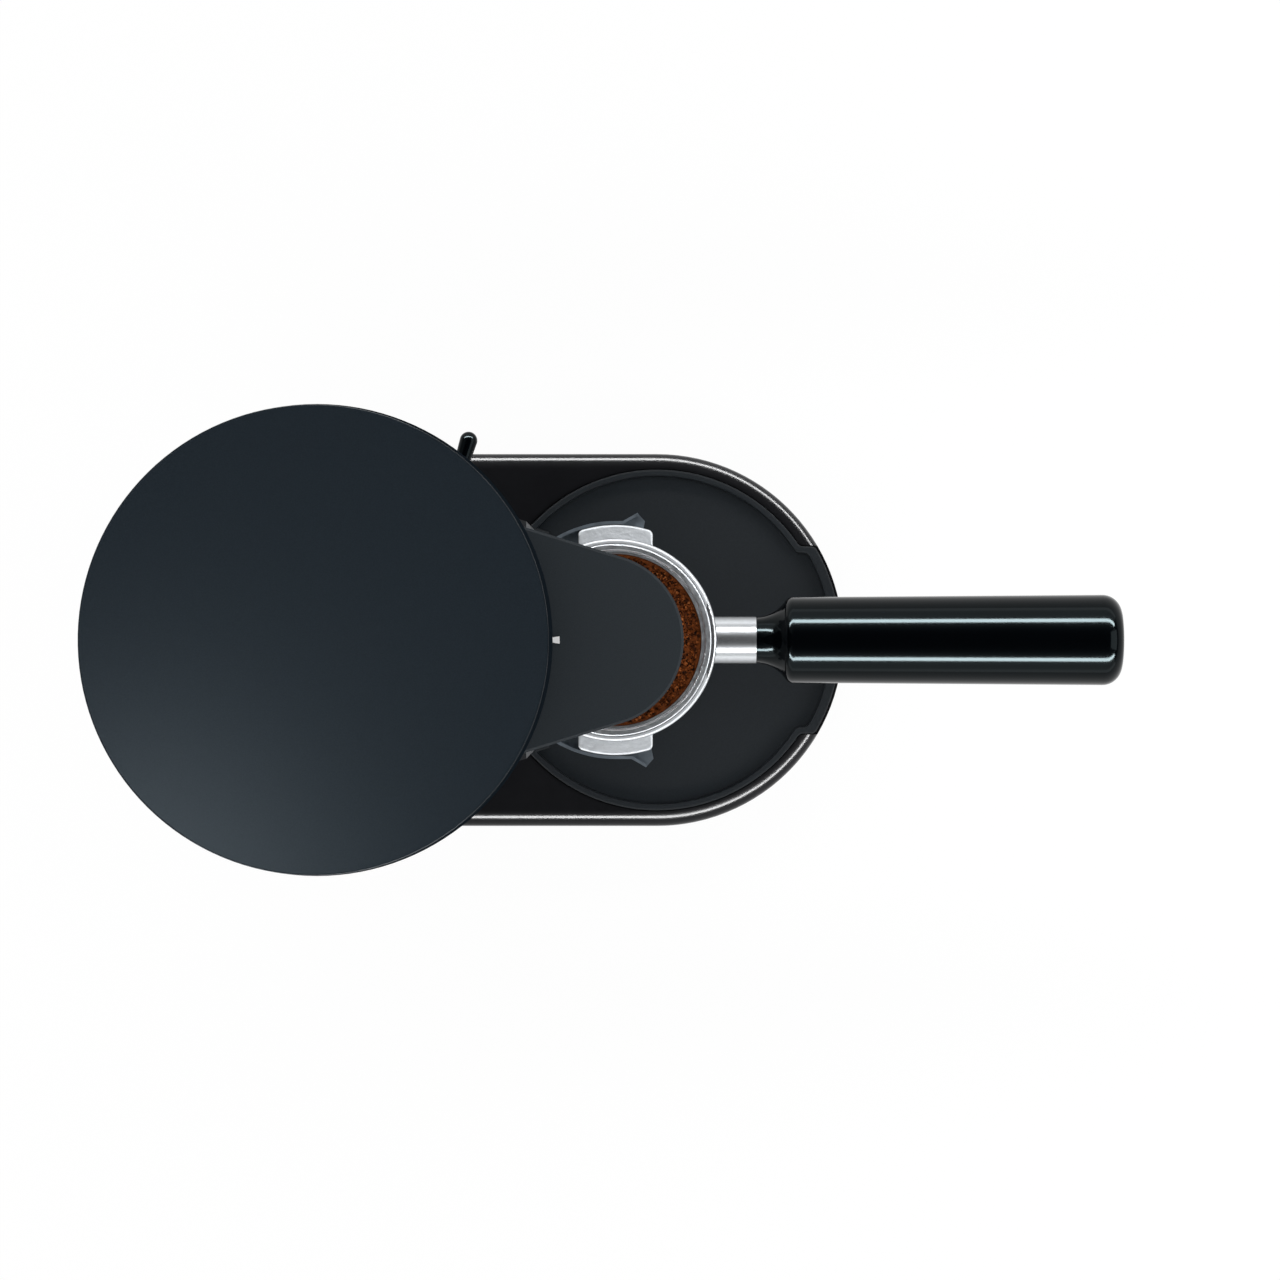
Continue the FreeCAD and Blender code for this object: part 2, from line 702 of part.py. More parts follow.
def burr_carrier():
    shoulder = CARRIER_Z + RING_BURR_H
    socket = NECK_OUT_R + SLIDE_GAP
    carrier = spin([
        (RING_BURR_R, CARRIER_Z), (CARRIER_R, CARRIER_Z), (CARRIER_R, CARRIER_TOP),
        (socket, CARRIER_TOP), (socket, CARRIER_SHOULDER), (NECK_BORE_R, CARRIER_SHOULDER),
        (NECK_BORE_R, shoulder), (RING_BURR_R, shoulder)])
    half = KEY_W / 2 + SLIDE_GAP
    reach = NECK_OUT_R + KEY_OUT + SLIDE_GAP
    return cut_all(carrier, key_blocks(half, reach, CARRIER_SHOULDER, CARRIER_TOP))


def key_blocks(half, reach, z0, z1):
    """Three equal keys around the hopper neck."""
    keys = []
    for i in range(3):
        key = block(NECK_BORE_R + NECK_WALL / 2, reach, -half, half, z0, z1)
        keys.append(key.rotated(vec(0, 0, 0), vec(0, 0, 1), 60 + 120 * i))
    return keys


def cone_radius(z):
    share = (z - CONE_Z) / CONE_H
    return CONE_R + (CONE_TOP_R - CONE_R) * share


def ring_burr():
    top = CARRIER_Z + RING_BURR_H
    low = cone_radius(CARRIER_Z) + BURR_GAP
    mid_z = CARRIER_Z + RING_BURR_H * 0.4
    mid = cone_radius(mid_z) + BURR_GAP
    ring = spin([
        (low, CARRIER_Z), (RING_BURR_R, CARRIER_Z), (RING_BURR_R, top), (NECK_BORE_R, top),
        (mid + BURR_GAP, mid_z)])
    half = RING_CUT_W / 2
    cut_top = CARRIER_Z + RING_BURR_H * 0.6
    grooves = []
    for i in range(CONE_FLUTES):
        groove = block(mid - OVERCUT, mid + RING_CUT_DEPTH, -half, half, CARRIER_Z - OVERCUT, cut_top)
        grooves.append(groove.rotated(vec(0, 0, 0), vec(0, 0, 1), i * 360.0 / CONE_FLUTES))
    return cut_all(ring, grooves)


def cone_burr():
    top = CONE_Z + CONE_H
    cone = Part.makeCone(CONE_R, CONE_TOP_R, CONE_H, vec(0, 0, CONE_Z))
    cone = cone.cut(cyl(SHAFT_R, CONE_Z, top))
    flutes = []
    tilt = math.degrees(math.atan2(CONE_R - CONE_TOP_R, CONE_H))
    for i in range(CONE_FLUTES):
        flute = block(-FLUTE_DEPTH, 2 * FLUTE_DEPTH, -FLUTE_W / 2, FLUTE_W / 2, 0, CONE_H * 1.2)
        flute = flute.rotated(vec(0, 0, 0), vec(0, 0, 1), FLUTE_TURN)
        flute = flute.rotated(vec(0, 0, 0), vec(0, 1, 0), -tilt)
        flute = flute.rotated(vec(0, 0, 0), vec(1, 0, 0), FLUTE_SLANT)
        flute = flute.translated(vec(CONE_R, 0, CONE_Z - OVERCUT))
        flutes.append(flute.rotated(vec(0, 0, 0), vec(0, 0, 1), i * 360.0 / CONE_FLUTES))
    return cut_all(cone, flutes)


def sweeper():
    r = CHAMBER_R - SWEEPER_GAP
    top = SWEEPER_Z + SWEEPER_T
    half = SWEEPER_VANE_T / 2
    pieces = [tube(r, SHAFT_R, SWEEPER_Z, top)]
    for i in range(SWEEPER_VANES):
        vane = block(CONE_R + SWEEPER_VANE_H, r - SWEEPER_GAP, -half, half, SWEEPER_Z, top + SWEEPER_VANE_H)
        pieces.append(vane.rotated(vec(0, 0, 0), vec(0, 0, 1), (i + 0.5) * 360.0 / SWEEPER_VANES))
    return fuse(pieces)


def burr_shaft():
    top = CONE_Z + CONE_H + NUT_H + SHAFT_PROUD
    return cyl(SHAFT_R, GEAR_PLATE_Z, top)


def burr_nut():
    z0 = CONE_Z + CONE_H
    corners = [polar(NUT_R, 60 * i) + (z0,) for i in range(6)]
    return lift(polygon(corners), z0 + NUT_H).cut(cyl(SHAFT_R, z0, z0 + NUT_H))


# Drive pieces

def gear_outline(teeth, turn, z):
    """Involute teeth; the first tooth stands at the angle turn."""
    pitch = GEAR_MODULE * teeth / 2
    base = pitch * math.cos(math.radians(PRESSURE_ANGLE))
    tip = pitch + GEAR_MODULE
    root = pitch - 1.25 * GEAR_MODULE
    half = math.pi / (2 * teeth) - GEAR_BACKLASH / (2 * pitch)
    roll = math.acos(base / pitch)
    half += math.tan(roll) - roll
    radii = [max(root, base)]
    radii += [radii[0] + (tip - radii[0]) * share for share in (0.35, 0.7, 1.0)]
    flank = [(root, half)] if root < base else []
    for r in radii:
        lean = math.acos(min(1.0, base / r))
        flank.append((r, half - (math.tan(lean) - lean)))
    points = []
    for i in range(teeth):
        middle = turn + 2 * math.pi * i / teeth
        points += [(r, middle - a) for r, a in flank]
        points += [(r, middle + a) for r, a in reversed(flank)]
    return polygon([(r * math.cos(a), r * math.sin(a), z) for r, a in points])


def burr_gear():
    gear = lift(gear_outline(GEAR_TEETH, 0.0, GEAR_Z), GEAR_Z + GEAR_W)
    return gear.cut(cyl(SHAFT_R, GEAR_Z, GEAR_Z + GEAR_W))


def motor_pinion():
    z0 = GEAR_Z - PINION_OVER
    z1 = GEAR_Z + GEAR_W + PINION_OVER
    pinion = lift(gear_outline(PINION_TEETH, math.pi / PINION_TEETH, z0), z1)
    return pinion.cut(cyl(MOTOR_SHAFT_R, z0, z1)).translated(vec(MOTOR_X, 0, 0))


def post_points():
    angles = (POST_ANGLE, 180 - POST_ANGLE, 180 + POST_ANGLE, 360 - POST_ANGLE)
    return [polar(POST_CIRCLE, a) for a in angles]


def motor_screw_points():
    return [(MOTOR_X, -MOTOR_SCREW_SPAN / 2), (MOTOR_X, MOTOR_SCREW_SPAN / 2)]


def gear_plate():
    plate = cyl(PLATE_R, GEAR_PLATE_Z, GEAR_PLATE_TOP)
    front = block(PANEL_X - 2 * PANEL_T, PLATE_R, -PLATE_R, PLATE_R, GEAR_PLATE_Z, GEAR_PLATE_TOP)
    plate = fuse([plate.cut(front), cyl(BEARING_R + BEARING_WALL, GEAR_PLATE_Z, BEARING_TOP)])
    tools = [cyl(BEARING_R, BEARING_TOP - BEARING_H, BEARING_TOP)]
    tools.append(cyl(SHAFT_R + SHAFT_HOLE_GAP, GEAR_PLATE_Z, BEARING_TOP))
    tools.append(cyl(MOTOR_SHAFT_R + MOTOR_HOLE_GAP, GEAR_PLATE_Z, BEARING_TOP, MOTOR_X))
    for x, y in motor_screw_points():
        tools.append(cyl(SCREW_R, GEAR_PLATE_Z, GEAR_PLATE_TOP, x, y))
    return cut_all(plate, tools)


def lower_posts():
    return Part.makeCompound([cyl(POST_R, BASE_TOP, GEAR_PLATE_Z, x, y) for x, y in post_points()])


def upper_posts():
    posts = []
    for x, y in post_points():
        post = cyl(POST_R, GEAR_PLATE_TOP, CHAMBER_BOTTOM, x, y)
        posts.append(post.cut(cyl(SCREW_R, CHAMBER_BOTTOM - POST_HOLE_DEPTH, CHAMBER_BOTTOM, x, y)))
    return Part.makeCompound(posts)


def post_screws():
    tip = CHAMBER_BOTTOM - POST_SCREW_DEPTH
    return Part.makeCompound([screw(CHUTE_Z, tip, x, y, True) for x, y in post_points()])


def shaft_bearings():
    bore = SHAFT_R + RUN_FIT
    low = tube(BEARING_R, bore, BEARING_TOP - BEARING_H, BEARING_TOP)
    high = tube(BEARING_R, bore, CHAMBER_BOTTOM - BEARING_H, CHAMBER_BOTTOM)
    return Part.makeCompound([low, high])


def motor_can():
    can = cyl(MOTOR_R, MOTOR_BOTTOM, GEAR_PLATE_Z, MOTOR_X)
    inner = MOTOR_R - MOTOR_CAN_T
    tools = [cyl(inner, MOTOR_BOTTOM, GEAR_PLATE_Z - MOTOR_CAN_T, MOTOR_X)]
    tools.append(cyl(2 * MOTOR_SHAFT_R, MOTOR_BOTTOM, GEAR_PLATE_Z, MOTOR_X))
    for x, y in motor_screw_points():
        tools.append(cyl(SCREW_R, GEAR_PLATE_Z - MOTOR_CAN_T, GEAR_PLATE_Z, x, y))
    return cut_all(can, tools)


def motor_end_cap():
    z0 = MOTOR_BOTTOM - MOTOR_CAP_H
    plug = MOTOR_R - MOTOR_CAN_T - SEAT_FIT
    disc = cyl(MOTOR_R, z0, MOTOR_BOTTOM, MOTOR_X)
    cap = fuse([disc, tube(plug, plug - MOTOR_PLUG_T, z0, MOTOR_BOTTOM + MOTOR_PLUG_H, MOTOR_X)])
    return cap.cut(cyl(2 * MOTOR_SHAFT_R, z0, MOTOR_BOTTOM, MOTOR_X))


def motor_bushings():
    bore = MOTOR_SHAFT_R + RUN_FIT
    low = tube(2 * MOTOR_SHAFT_R, bore, MOTOR_BOTTOM - MOTOR_CAP_H, MOTOR_BOTTOM, MOTOR_X)
    high = tube(2 * MOTOR_SHAFT_R, bore, GEAR_PLATE_Z - MOTOR_BUSH_H, GEAR_PLATE_Z, MOTOR_X)
    return Part.makeCompound([low, high])


def motor_magnets():
    outer = MOTOR_R - MOTOR_CAN_T - SEAT_FIT
    z0 = MOTOR_BOTTOM + MAGNET_UP
    z1 = z0 + MAGNET_L
    half = MAGNET_SPLIT / 2
    ring = tube(outer, outer - MAGNET_T, z0, z1, MOTOR_X)
    return ring.cut(block(MOTOR_X - half, MOTOR_X + half, -MOTOR_R, MOTOR_R, z0, z1))


def motor_screws():
    tip = GEAR_PLATE_Z - MOTOR_CAN_T
    return Part.makeCompound([screw(GEAR_PLATE_TOP, tip, x, y, True) for x, y in motor_screw_points()])


def motor_shaft():
    top = GEAR_Z + GEAR_W + MOTOR_SHAFT_PROUD
    return cyl(MOTOR_SHAFT_R, MOTOR_BOTTOM - MOTOR_CAP_H, top, MOTOR_X)


def motor_armature():
    r = MOTOR_R - MOTOR_CAN_T - SEAT_FIT - MAGNET_T - ARMATURE_GAP
    z0 = MOTOR_BOTTOM + MAGNET_UP + ARMATURE_IN
    z1 = z0 + MAGNET_L - 2 * ARMATURE_IN
    half = ARMATURE_SLOT_W / 2
    core = tube(r, MOTOR_SHAFT_R, z0, z1)
    slots = []
    for i in range(ARMATURE_SLOTS):
        slot = block(r * 0.6, r + OVERCUT, -half, half, z0, z1)
        slots.append(slot.rotated(vec(0, 0, 0), vec(0, 0, 1), i * 360.0 / ARMATURE_SLOTS))
    return cut_all(core, slots).translated(vec(MOTOR_X, 0, 0))


def commutator():
    low = MOTOR_BOTTOM + COMMUTATOR_UP
    return tube(COMMUTATOR_R, MOTOR_SHAFT_R, low, low + COMMUTATOR_H, MOTOR_X)


# Hopper pieces

def dial_ring():
    hole = CARRIER_R + DIAL_HOLE_GAP
    lip = SKIRT_R - SEAT_FIT
    inner = lip - DIAL_WALL
    floor = DIAL_Z + DIAL_FLOOR_T
    lip_top = HOPPER_Z + DIAL_LIP_H
    ring = spin([
        (hole, DIAL_Z), (DIAL_R, DIAL_Z), (DIAL_R, HOPPER_Z), (lip, HOPPER_Z),
        (lip, lip_top), (inner, lip_top), (inner, floor), (hole, floor)])
    grips = []
    for i in range(DIAL_GRIPS):
        x, y = polar(DIAL_R + GRIP_R / 2, i * 360.0 / DIAL_GRIPS)
        grips.append(cyl(GRIP_R, HOPPER_Z - GRIP_H, HOPPER_Z, x, y))
    return cut_all(ring, grips)


def hopper_wall():
    """The clear tapered wall, with a ledge inside that carries the funnel."""
    return spin([
        (SKIRT_R, HOPPER_Z), (HOPPER_R - HOPPER_TAPER, HOPPER_Z), (HOPPER_R, HOPPER_TOP),
        (HOPPER_BORE_R, HOPPER_TOP), (LOW_BORE_R, LEDGE_Z), (SKIRT_R, LEDGE_Z)])


def funnel_slope():
    return FUNNEL_H / (LOW_BORE_R - NECK_BORE_R)


def neck_top():
    return THROAT_Z + funnel_slope() * NECK_WALL - FUNNEL_T


def hopper_funnel():
    rim = LOW_BORE_R - SEAT_FIT
    step = SKIRT_R - SLIDE_GAP
    rim_top = LEDGE_Z + FUNNEL_RIM_T
    return spin([
        (NECK_BORE_R, neck_top()), (NECK_OUT_R, neck_top()), (step, LEDGE_Z - FUNNEL_RIM_T),
        (step, LEDGE_Z), (rim, LEDGE_Z), (rim, rim_top), (NECK_BORE_R, THROAT_Z)])


def hopper_neck():
    """The outlet tube below the funnel; its keys turn the burr carrier."""
    neck = tube(NECK_OUT_R, NECK_BORE_R, NECK_BOTTOM, neck_top())
    key_z = NECK_BOTTOM + KEY_LIFT
    return fuse([neck] + key_blocks(KEY_W / 2, NECK_OUT_R + KEY_OUT, key_z, key_z + KEY_H))


def plug_radius():
    return HOPPER_BORE_R - LID_PLUG_GAP


def lid():
    top = LID_Z + LID_H
    r = HOPPER_R + LID_OVER
    plug = plug_radius()
    bottom = LID_Z - LID_PLUG_H
    inner = plug - LID_T
    shell = spin([
        (0, top - LID_T), (inner, top - LID_T), (inner, bottom), (plug, bottom),
        (plug, LID_Z), (r, LID_Z), (r - LID_DRAFT, top), (0, top)])
    return round_at(shell, LID_EDGE_R, top)


def lid_seal():
    inner = plug_radius()
    outer = HOPPER_BORE_R - SLIDE_GAP
    middle = LID_Z - LID_PLUG_H / 2
    half = SEAL_H / 2
    return spin([(inner, middle - half), (outer, middle), (inner, middle + half)])


# Portafilter and fork pieces

def portafilter_body():
    bore = BASKET_R + BASKET_T + SLIDE_GAP
    seat = BASKET_R + BASKET_RIM_W + SEAT_FIT
    ledge = RING_TOP - BASKET_SEAT
    body = spin([
        (0, OUTLET_BOTTOM), (OUTLET_R, OUTLET_BOTTOM), (OUTLET_R, OUTLET_TOP), (COLLAR_R, OUTLET_TOP),
        (CUP_R, CUP_FLOOR), (CUP_R, RING_BOTTOM), (RING_R, RING_BOTTOM), (RING_R, RING_TOP),
        (0, RING_TOP)], RING_X)
    body = round_at(body, RING_EDGE_R, RING_TOP)
    neck = rod_x(NECK_R, RING_X, NECK_END, 0, HANDLE_Z)
    body = fuse([body, neck, lugs()])
    inside = spin([
        (0, OUTLET_BOTTOM), (POUR_BORE_R, OUTLET_BOTTOM), (POUR_BORE_R, OUTLET_TOP),
        (bore, CUP_FLOOR + CUP_SPACE / 3), (bore, ledge), (seat, ledge), (seat, RING_TOP),
        (0, RING_TOP)], RING_X)
    return body.cut(inside).cut(rod_x(STUD_R, NECK_END - STUD_IN, NECK_END, 0, HANDLE_Z))


def lugs():
    half = LUG_SPAN / 2
    top = RING_BOTTOM + LUG_H
    bar = block(RING_X - LUG_W / 2, RING_X + LUG_W / 2, -half, half, RING_BOTTOM, top)
    bar = bar.common(cyl(half, RING_BOTTOM, top, RING_X))
    upright = [e for e in bar.Edges if e.BoundBox.ZLength > LUG_H / 2 and abs(e.BoundBox.YMax) > RING_R]
    bar = bar.makeFillet(LUG_CORNER_R, upright)
    return round_at(bar, LUG_EDGE_R, top)


def filter_basket():
    top = RING_TOP + BASKET_PROUD
    under = RING_TOP - BASKET_SEAT
    floor = RING_TOP - BASKET_DEPTH
    knee = floor + BASKET_CORNER_H
    wall = BASKET_R + BASKET_T
    rim = BASKET_R + BASKET_RIM_W
    bead = BASKET_R + BASKET_T * 1.6
    lip = RING_TOP - BASKET_LIP
    basket = spin([
        (0, floor), (wall - BASKET_CORNER_W, floor), (wall, knee), (wall, under), (rim, under),
        (rim, top), (bead, top), (wall, lip), (BASKET_R, lip), (BASKET_R, knee + BASKET_T),
        (BASKET_R - BASKET_CORNER_W, floor + BASKET_T), (0, floor + BASKET_T)], RING_X)
    return round_at(basket, BASKET_EDGE_R, top)


def ground_coffee():
    floor = RING_TOP - BASKET_DEPTH + BASKET_T + COFFEE_UP
    edge = RING_TOP - COFFEE_DROP
    r = BASKET_R - SEAT_FIT
    return spin([
        (0, floor), (r, floor), (r, edge), (r * 0.8, edge + COFFEE_HEAP * 0.2),
        (r * 0.35, edge + COFFEE_HEAP * 0.8), (0, edge + COFFEE_HEAP)], RING_X)


def pouring_collar():
    """A closed cup that screws on the outlet under the filter."""
    seat = OUTLET_BOTTOM
    low = seat - COLLAR_H
    collar = cyl(COLLAR_R, low, OUTLET_TOP - SLIDE_GAP, RING_X)
    tools = [cyl(OUTLET_R, seat, OUTLET_TOP, RING_X)]
    tools.append(cyl(OUTLET_R - COLLAR_FLOOR_T, low + COLLAR_FLOOR_T, seat, RING_X))
    return cut_all(collar, tools + pour_rods(POUR_BORE_R))


def pour_rods(r):
    """The two slanting pouring ways below the collar."""
    low = OUTLET_BOTTOM - COLLAR_H
    rods = []
    for side in (-1, 1):
        start = vec(RING_X, side * POUR_SPREAD * 0.3, low + COLLAR_FLOOR_T)
        end = vec(RING_X, side * POUR_SPREAD, low - POUR_H)
        way = end.sub(start)
        rods.append(Part.makeCylinder(r, way.Length, start, way))
    return rods


def pouring_tubes():
    low = OUTLET_BOTTOM - COLLAR_H
    collar = cyl(COLLAR_R, low, OUTLET_TOP, RING_X)
    level = block(RING_X - COLLAR_R, RING_X + COLLAR_R, -RING_R, RING_R, low - 2 * POUR_H, low - POUR_H)
    tubes = []
    for outer, inner in zip(pour_rods(POUR_R), pour_rods(POUR_BORE_R)):
        tubes.append(cut_all(outer, [inner, collar, level]))
    return Part.makeCompound(tubes)


def handle_stud():
    return rod_x(STUD_R, NECK_END - STUD_IN, NECK_END + STUD_OUT, 0, HANDLE_Z)


def portafilter_handle():
    """A turned grip: a hollow flare, a round shoulder and a slow taper to a rounded end."""
    def at(x, r):
        return vec(NECK_END + x, 0, HANDLE_Z + r)
    end_r = HANDLE_R * 0.42
    curve = end_r * (1 - math.sqrt(0.5))
    root = at(0, NECK_R - FLARE_STEP)
    flare = at(FLARE_L * 0.65, NECK_R + FLARE_CURVE)
    crease = at(FLARE_L, FLARE_R)
    shoulder = at(FLARE_L + SHOULDER_L * 0.4, FLARE_R + SHOULDER_CURVE)
    grip_start = at(FLARE_L + SHOULDER_L, HANDLE_FRONT_R)
    grip_end = at(HANDLE_L - end_r, HANDLE_R)
    cap = at(HANDLE_L, HANDLE_R - end_r)
    edges = [
        line(at(0, 0), root), arc(root, flare, crease), arc(crease, shoulder, grip_start),
        line(grip_start, grip_end), arc(grip_end, at(HANDLE_L - curve, HANDLE_R - curve), cap),
        line(cap, at(HANDLE_L, 0)), line(at(HANDLE_L, 0), at(0, 0))]
    grip = face_of(edges).revolve(at(0, 0), vec(1, 0, 0), 360)
    return grip.cut(rod_x(STUD_R, NECK_END, NECK_END + STUD_OUT, 0, HANDLE_Z))


def fork_tip_start(side):
    """The right arm is a little longer than the left one."""
    return FORK_RIGHT_EXTRA if side < 0 else 0.0


def fork_tip(side, trim):
    """Corners of one flared arm end, from the round arm outwards; trim moves them in."""
    start = fork_tip_start(side)
    reach = FORK_R + FORK_TIP_W - trim
    return [(start + FORK_TIP_L * 0.25, FORK_R - trim), (start + FORK_TIP_L * 0.75, reach)]


def fork_arc(r, degrees):
    """One stretch of the round arm, from the given angle to straight beside the ring."""
    middle = polar(r, (degrees + 90.0) / 2)
    start = polar(r, degrees)
    return [start, middle, (0.0, r)]


def fork_screw_points():
    z = FORK_TOP - FORK_BACK_H * 0.6
    return [(-FORK_BACK_W / 3, z), (FORK_BACK_W / 3, z)]


def at_ring(point, side, z):
    return vec(RING_X + point[0], side * point[1], z)


def fork_arm_end(side, z):
    """The outline of one arm's end, from its outer side round to the slot."""
    start = fork_tip_start(side)
    end = [(start + FORK_TIP_L, FORK_R), (start + FORK_TIP_L * 0.85, FORK_SLOT_R), (0.0, FORK_SLOT_R)]
    return [at_ring(p, side, z) for p in [(0.0, FORK_R)] + fork_tip(side, 0) + end]


def fork_plate_plan(z):
    """Two round arms that join behind the ring and end in flared tips."""
    left = fork_arm_end(1, z)
    right = fork_arm_end(-1, z)
    edges = [arc(right[0], at_ring((-FORK_R, 0), 1, z), left[0])]
    edges += [line(a, b) for a, b in zip(left, left[1:])]
    edges.append(arc(left[-1], at_ring((-FORK_SLOT_R, 0), 1, z), right[-1]))
    edges += [line(a, b) for a, b in zip(right[::-1], right[-2::-1])]
    return face_of(edges)


def fork_lip(side):
    """The raised outer edge of one arm."""
    outer = fork_arc(FORK_R, FORK_LIP_ANGLE) + fork_tip(side, 0)
    inner = fork_arc(FORK_R - FORK_LIP_T, FORK_LIP_ANGLE) + fork_tip(side, FORK_LIP_T)
    a, b, c, d, e = [at_ring(p, side, FORK_TOP) for p in outer]
    f, g, h, j, k = [at_ring(p, side, FORK_TOP) for p in inner]
    edges = [arc(a, b, c), line(c, d), line(d, e), line(e, k)]
    edges += [line(k, j), line(j, h), arc(h, g, f), line(f, a)]
    return lift(face_of(edges), FORK_TOP + FORK_LIP_H)


def portafilter_fork():
    bottom = FORK_TOP - FORK_T
    plate = lift(fork_plate_plan(bottom), FORK_TOP)
    plate = plate.cut(block(0, PANEL_X, -FORK_R, FORK_R, bottom, FORK_TOP))
    half = FORK_BACK_W / 2
    back = block(PANEL_X, PANEL_X + FORK_BACK_T, -half, half, FORK_TOP - FORK_BACK_H, FORK_TOP)
    fork = fuse([plate, back, fork_lip(1), fork_lip(-1)])
    holes = [rod_x(SCREW_R, PANEL_X, PANEL_X + FORK_BACK_T, y, z) for y, z in fork_screw_points()]
    return cut_all(fork, holes)


def fork_screws():
    screws = []
    face = PANEL_X + FORK_BACK_T
    for y, z in fork_screw_points():
        head = rod_x(SCREW_HEAD_R, face, face + SCREW_HEAD_H, y, z)
        screws.append(fuse([head, rod_x(SCREW_R, PANEL_X - PANEL_T, face, y, z)]))
    return Part.makeCompound(screws)


# Control pieces

def on_side(shape):
    """Stand a piece, made upright at the origin, on the outside of the left flat side."""
    sx = math.sin(SIDE_ANGLE)
    sy = math.cos(SIDE_ANGLE)
    face = (BODY_R + WRAP_T - TOGGLE_X * sx) / sy
    turn = FreeCAD.Rotation(vec(sy, -sx, 0), vec(0, 0, -1), vec(sx, sy, 0), "ZXY")
    moved = shape.copy()
    moved.Placement = FreeCAD.Placement(vec(TOGGLE_X, face, TOGGLE_Z), turn).multiply(moved.Placement)
    return moved


def toggle_bore():
    r = TOGGLE_BALL_R + SLIDE_GAP
    mouth_h = TOGGLE_BUSH_L * 0.35
    mouth = Part.makeCone(r, r + TOGGLE_TAIL_R, mouth_h, vec(0, 0, TOGGLE_BUSH_L - mouth_h))
    depth = WRAP_T + TOGGLE_TAIL_L
    return fuse([cyl(r, -depth, TOGGLE_BUSH_L - mouth_h), mouth])


def toggle_pin(grow):
    half = TOGGLE_PIN_L / 2 + grow
    return rod_x(TOGGLE_PIN_R + grow, -half, half, 0, TOGGLE_PIVOT)


def toggle_housing():
    half_w = TOGGLE_BODY_W / 2
    half_h = TOGGLE_BODY_H / 2
    top = -WRAP_T - SEAT_FIT
    body = block(-half_w, half_w, -half_h, half_h, top - TOGGLE_BODY_D, top)
    return on_side(body.cut(toggle_bore()))


def toggle_bushing():
    bush = cyl(TOGGLE_BUSH_R, -WRAP_T - SEAT_FIT, TOGGLE_BUSH_L)
    return on_side(cut_all(bush, [toggle_bore(), toggle_pin(RUN_FIT)]))


def toggle_nut():
    corners = [polar(TOGGLE_BUSH_R * 1.45, 60 * i) + (0,) for i in range(6)]
    return on_side(lift(polygon(corners), TOGGLE_NUT_T).cut(cyl(TOGGLE_BUSH_R, 0, TOGGLE_NUT_T)))


def toggle_lever():
    """A bat lever on a ball and pin, with a short tail inside the switch."""
    tip = TOGGLE_REACH - TOGGLE_TIP_R
    ball = Part.makeSphere(TOGGLE_BALL_R, vec(0, 0, TOGGLE_PIVOT))
    bat = Part.makeCone(TOGGLE_ROOT_R, TOGGLE_TIP_R, tip - TOGGLE_PIVOT, vec(0, 0, TOGGLE_PIVOT))
    end = Part.makeSphere(TOGGLE_TIP_R, vec(0, 0, tip))
    tail = cyl(TOGGLE_TAIL_R, TOGGLE_PIVOT - TOGGLE_TAIL_L, TOGGLE_PIVOT)
    return on_side(fuse([ball, bat, end, tail, toggle_pin(0)]))


def button_rear():
    return PANEL_X - PANEL_T - SLIDE_GAP


def trigger_button():
    rear = button_rear()
    stem = rod_x(BUTTON_R, rear, BUTTON_TIP, 0, BUTTON_Z)
    tip_edges = [e for e in stem.Edges if e.BoundBox.XMin > BUTTON_TIP - 1e-6]
    stem = stem.makeFillet(BUTTON_EDGE_R, tip_edges)
    flange = rod_x(BUTTON_R + BUTTON_FLANGE_W, rear - BUTTON_FLANGE_T, rear, 0, BUTTON_Z)
    return fuse([stem, flange])


def switch_half():
    return BUTTON_R + SWITCH_SIDE


def switch_front():
    return button_rear() - BUTTON_FLANGE_T - BUTTON_STROKE - SLIDE_GAP - PLUNGER_L


def switch_x():
    return switch_front() - SWITCH_L


def microswitch():
    half = switch_half()
    half_h = SWITCH_H / 2
    body = block(switch_x(), switch_front(), -half, half, BUTTON_Z - half_h, BUTTON_Z + half_h)
    return fuse([body, rod_x(PLUNGER_R, switch_front(), switch_front() + PLUNGER_L, 0, BUTTON_Z)])


def board_x():
    return PANEL_X - PANEL_T - BOARD_OFF


def board_points():
    half = BOARD_W / 2 - BOARD_EDGE
    low = BASE_TOP + BOARD_UP + BOARD_EDGE
    high = BASE_TOP + BOARD_UP + BOARD_H - BOARD_EDGE
    return [(y, z) for y in (-half, half) for z in (low, high)]


def control_board():
    low = BASE_TOP + BOARD_UP
    face = board_x() - BOARD_T
    half = BOARD_W / 2
    board = block(face, board_x(), -half, half, low, low + BOARD_H)
    relay = block(face - RELAY_L, face, -RELAY_L, 0, low + RELAY_L / 2, low + RELAY_L * 1.8)
    capacitor = rod_x(RELAY_L * 0.4, face - RELAY_L, face, half / 2, low + BOARD_H * 0.6)
    return fuse([board, relay, capacitor])


PIECES = [
    base_body, base_plate, base_screws, rubber_feet, cord_gland, drip_tray,
    body_wrap, front_panel, head_shell, nose_cover, index_mark, outlet_spout, outlet_chute,
    grind_chamber, burr_carrier, ring_burr, cone_burr, sweeper, burr_shaft, burr_nut,
    burr_gear, motor_pinion, gear_plate, lower_posts, upper_posts, post_screws, shaft_bearings,
    motor_can, motor_end_cap, motor_bushings, motor_magnets, motor_screws, motor_shaft,
    motor_armature, commutator,
    dial_ring, hopper_wall, hopper_funnel, hopper_neck, lid, lid_seal,
    portafilter_body, filter_basket, ground_coffee, pouring_collar, pouring_tubes, handle_stud,
    portafilter_handle, portafilter_fork, fork_screws,
    toggle_housing, toggle_bushing, toggle_nut, toggle_lever, trigger_button, microswitch, control_board]

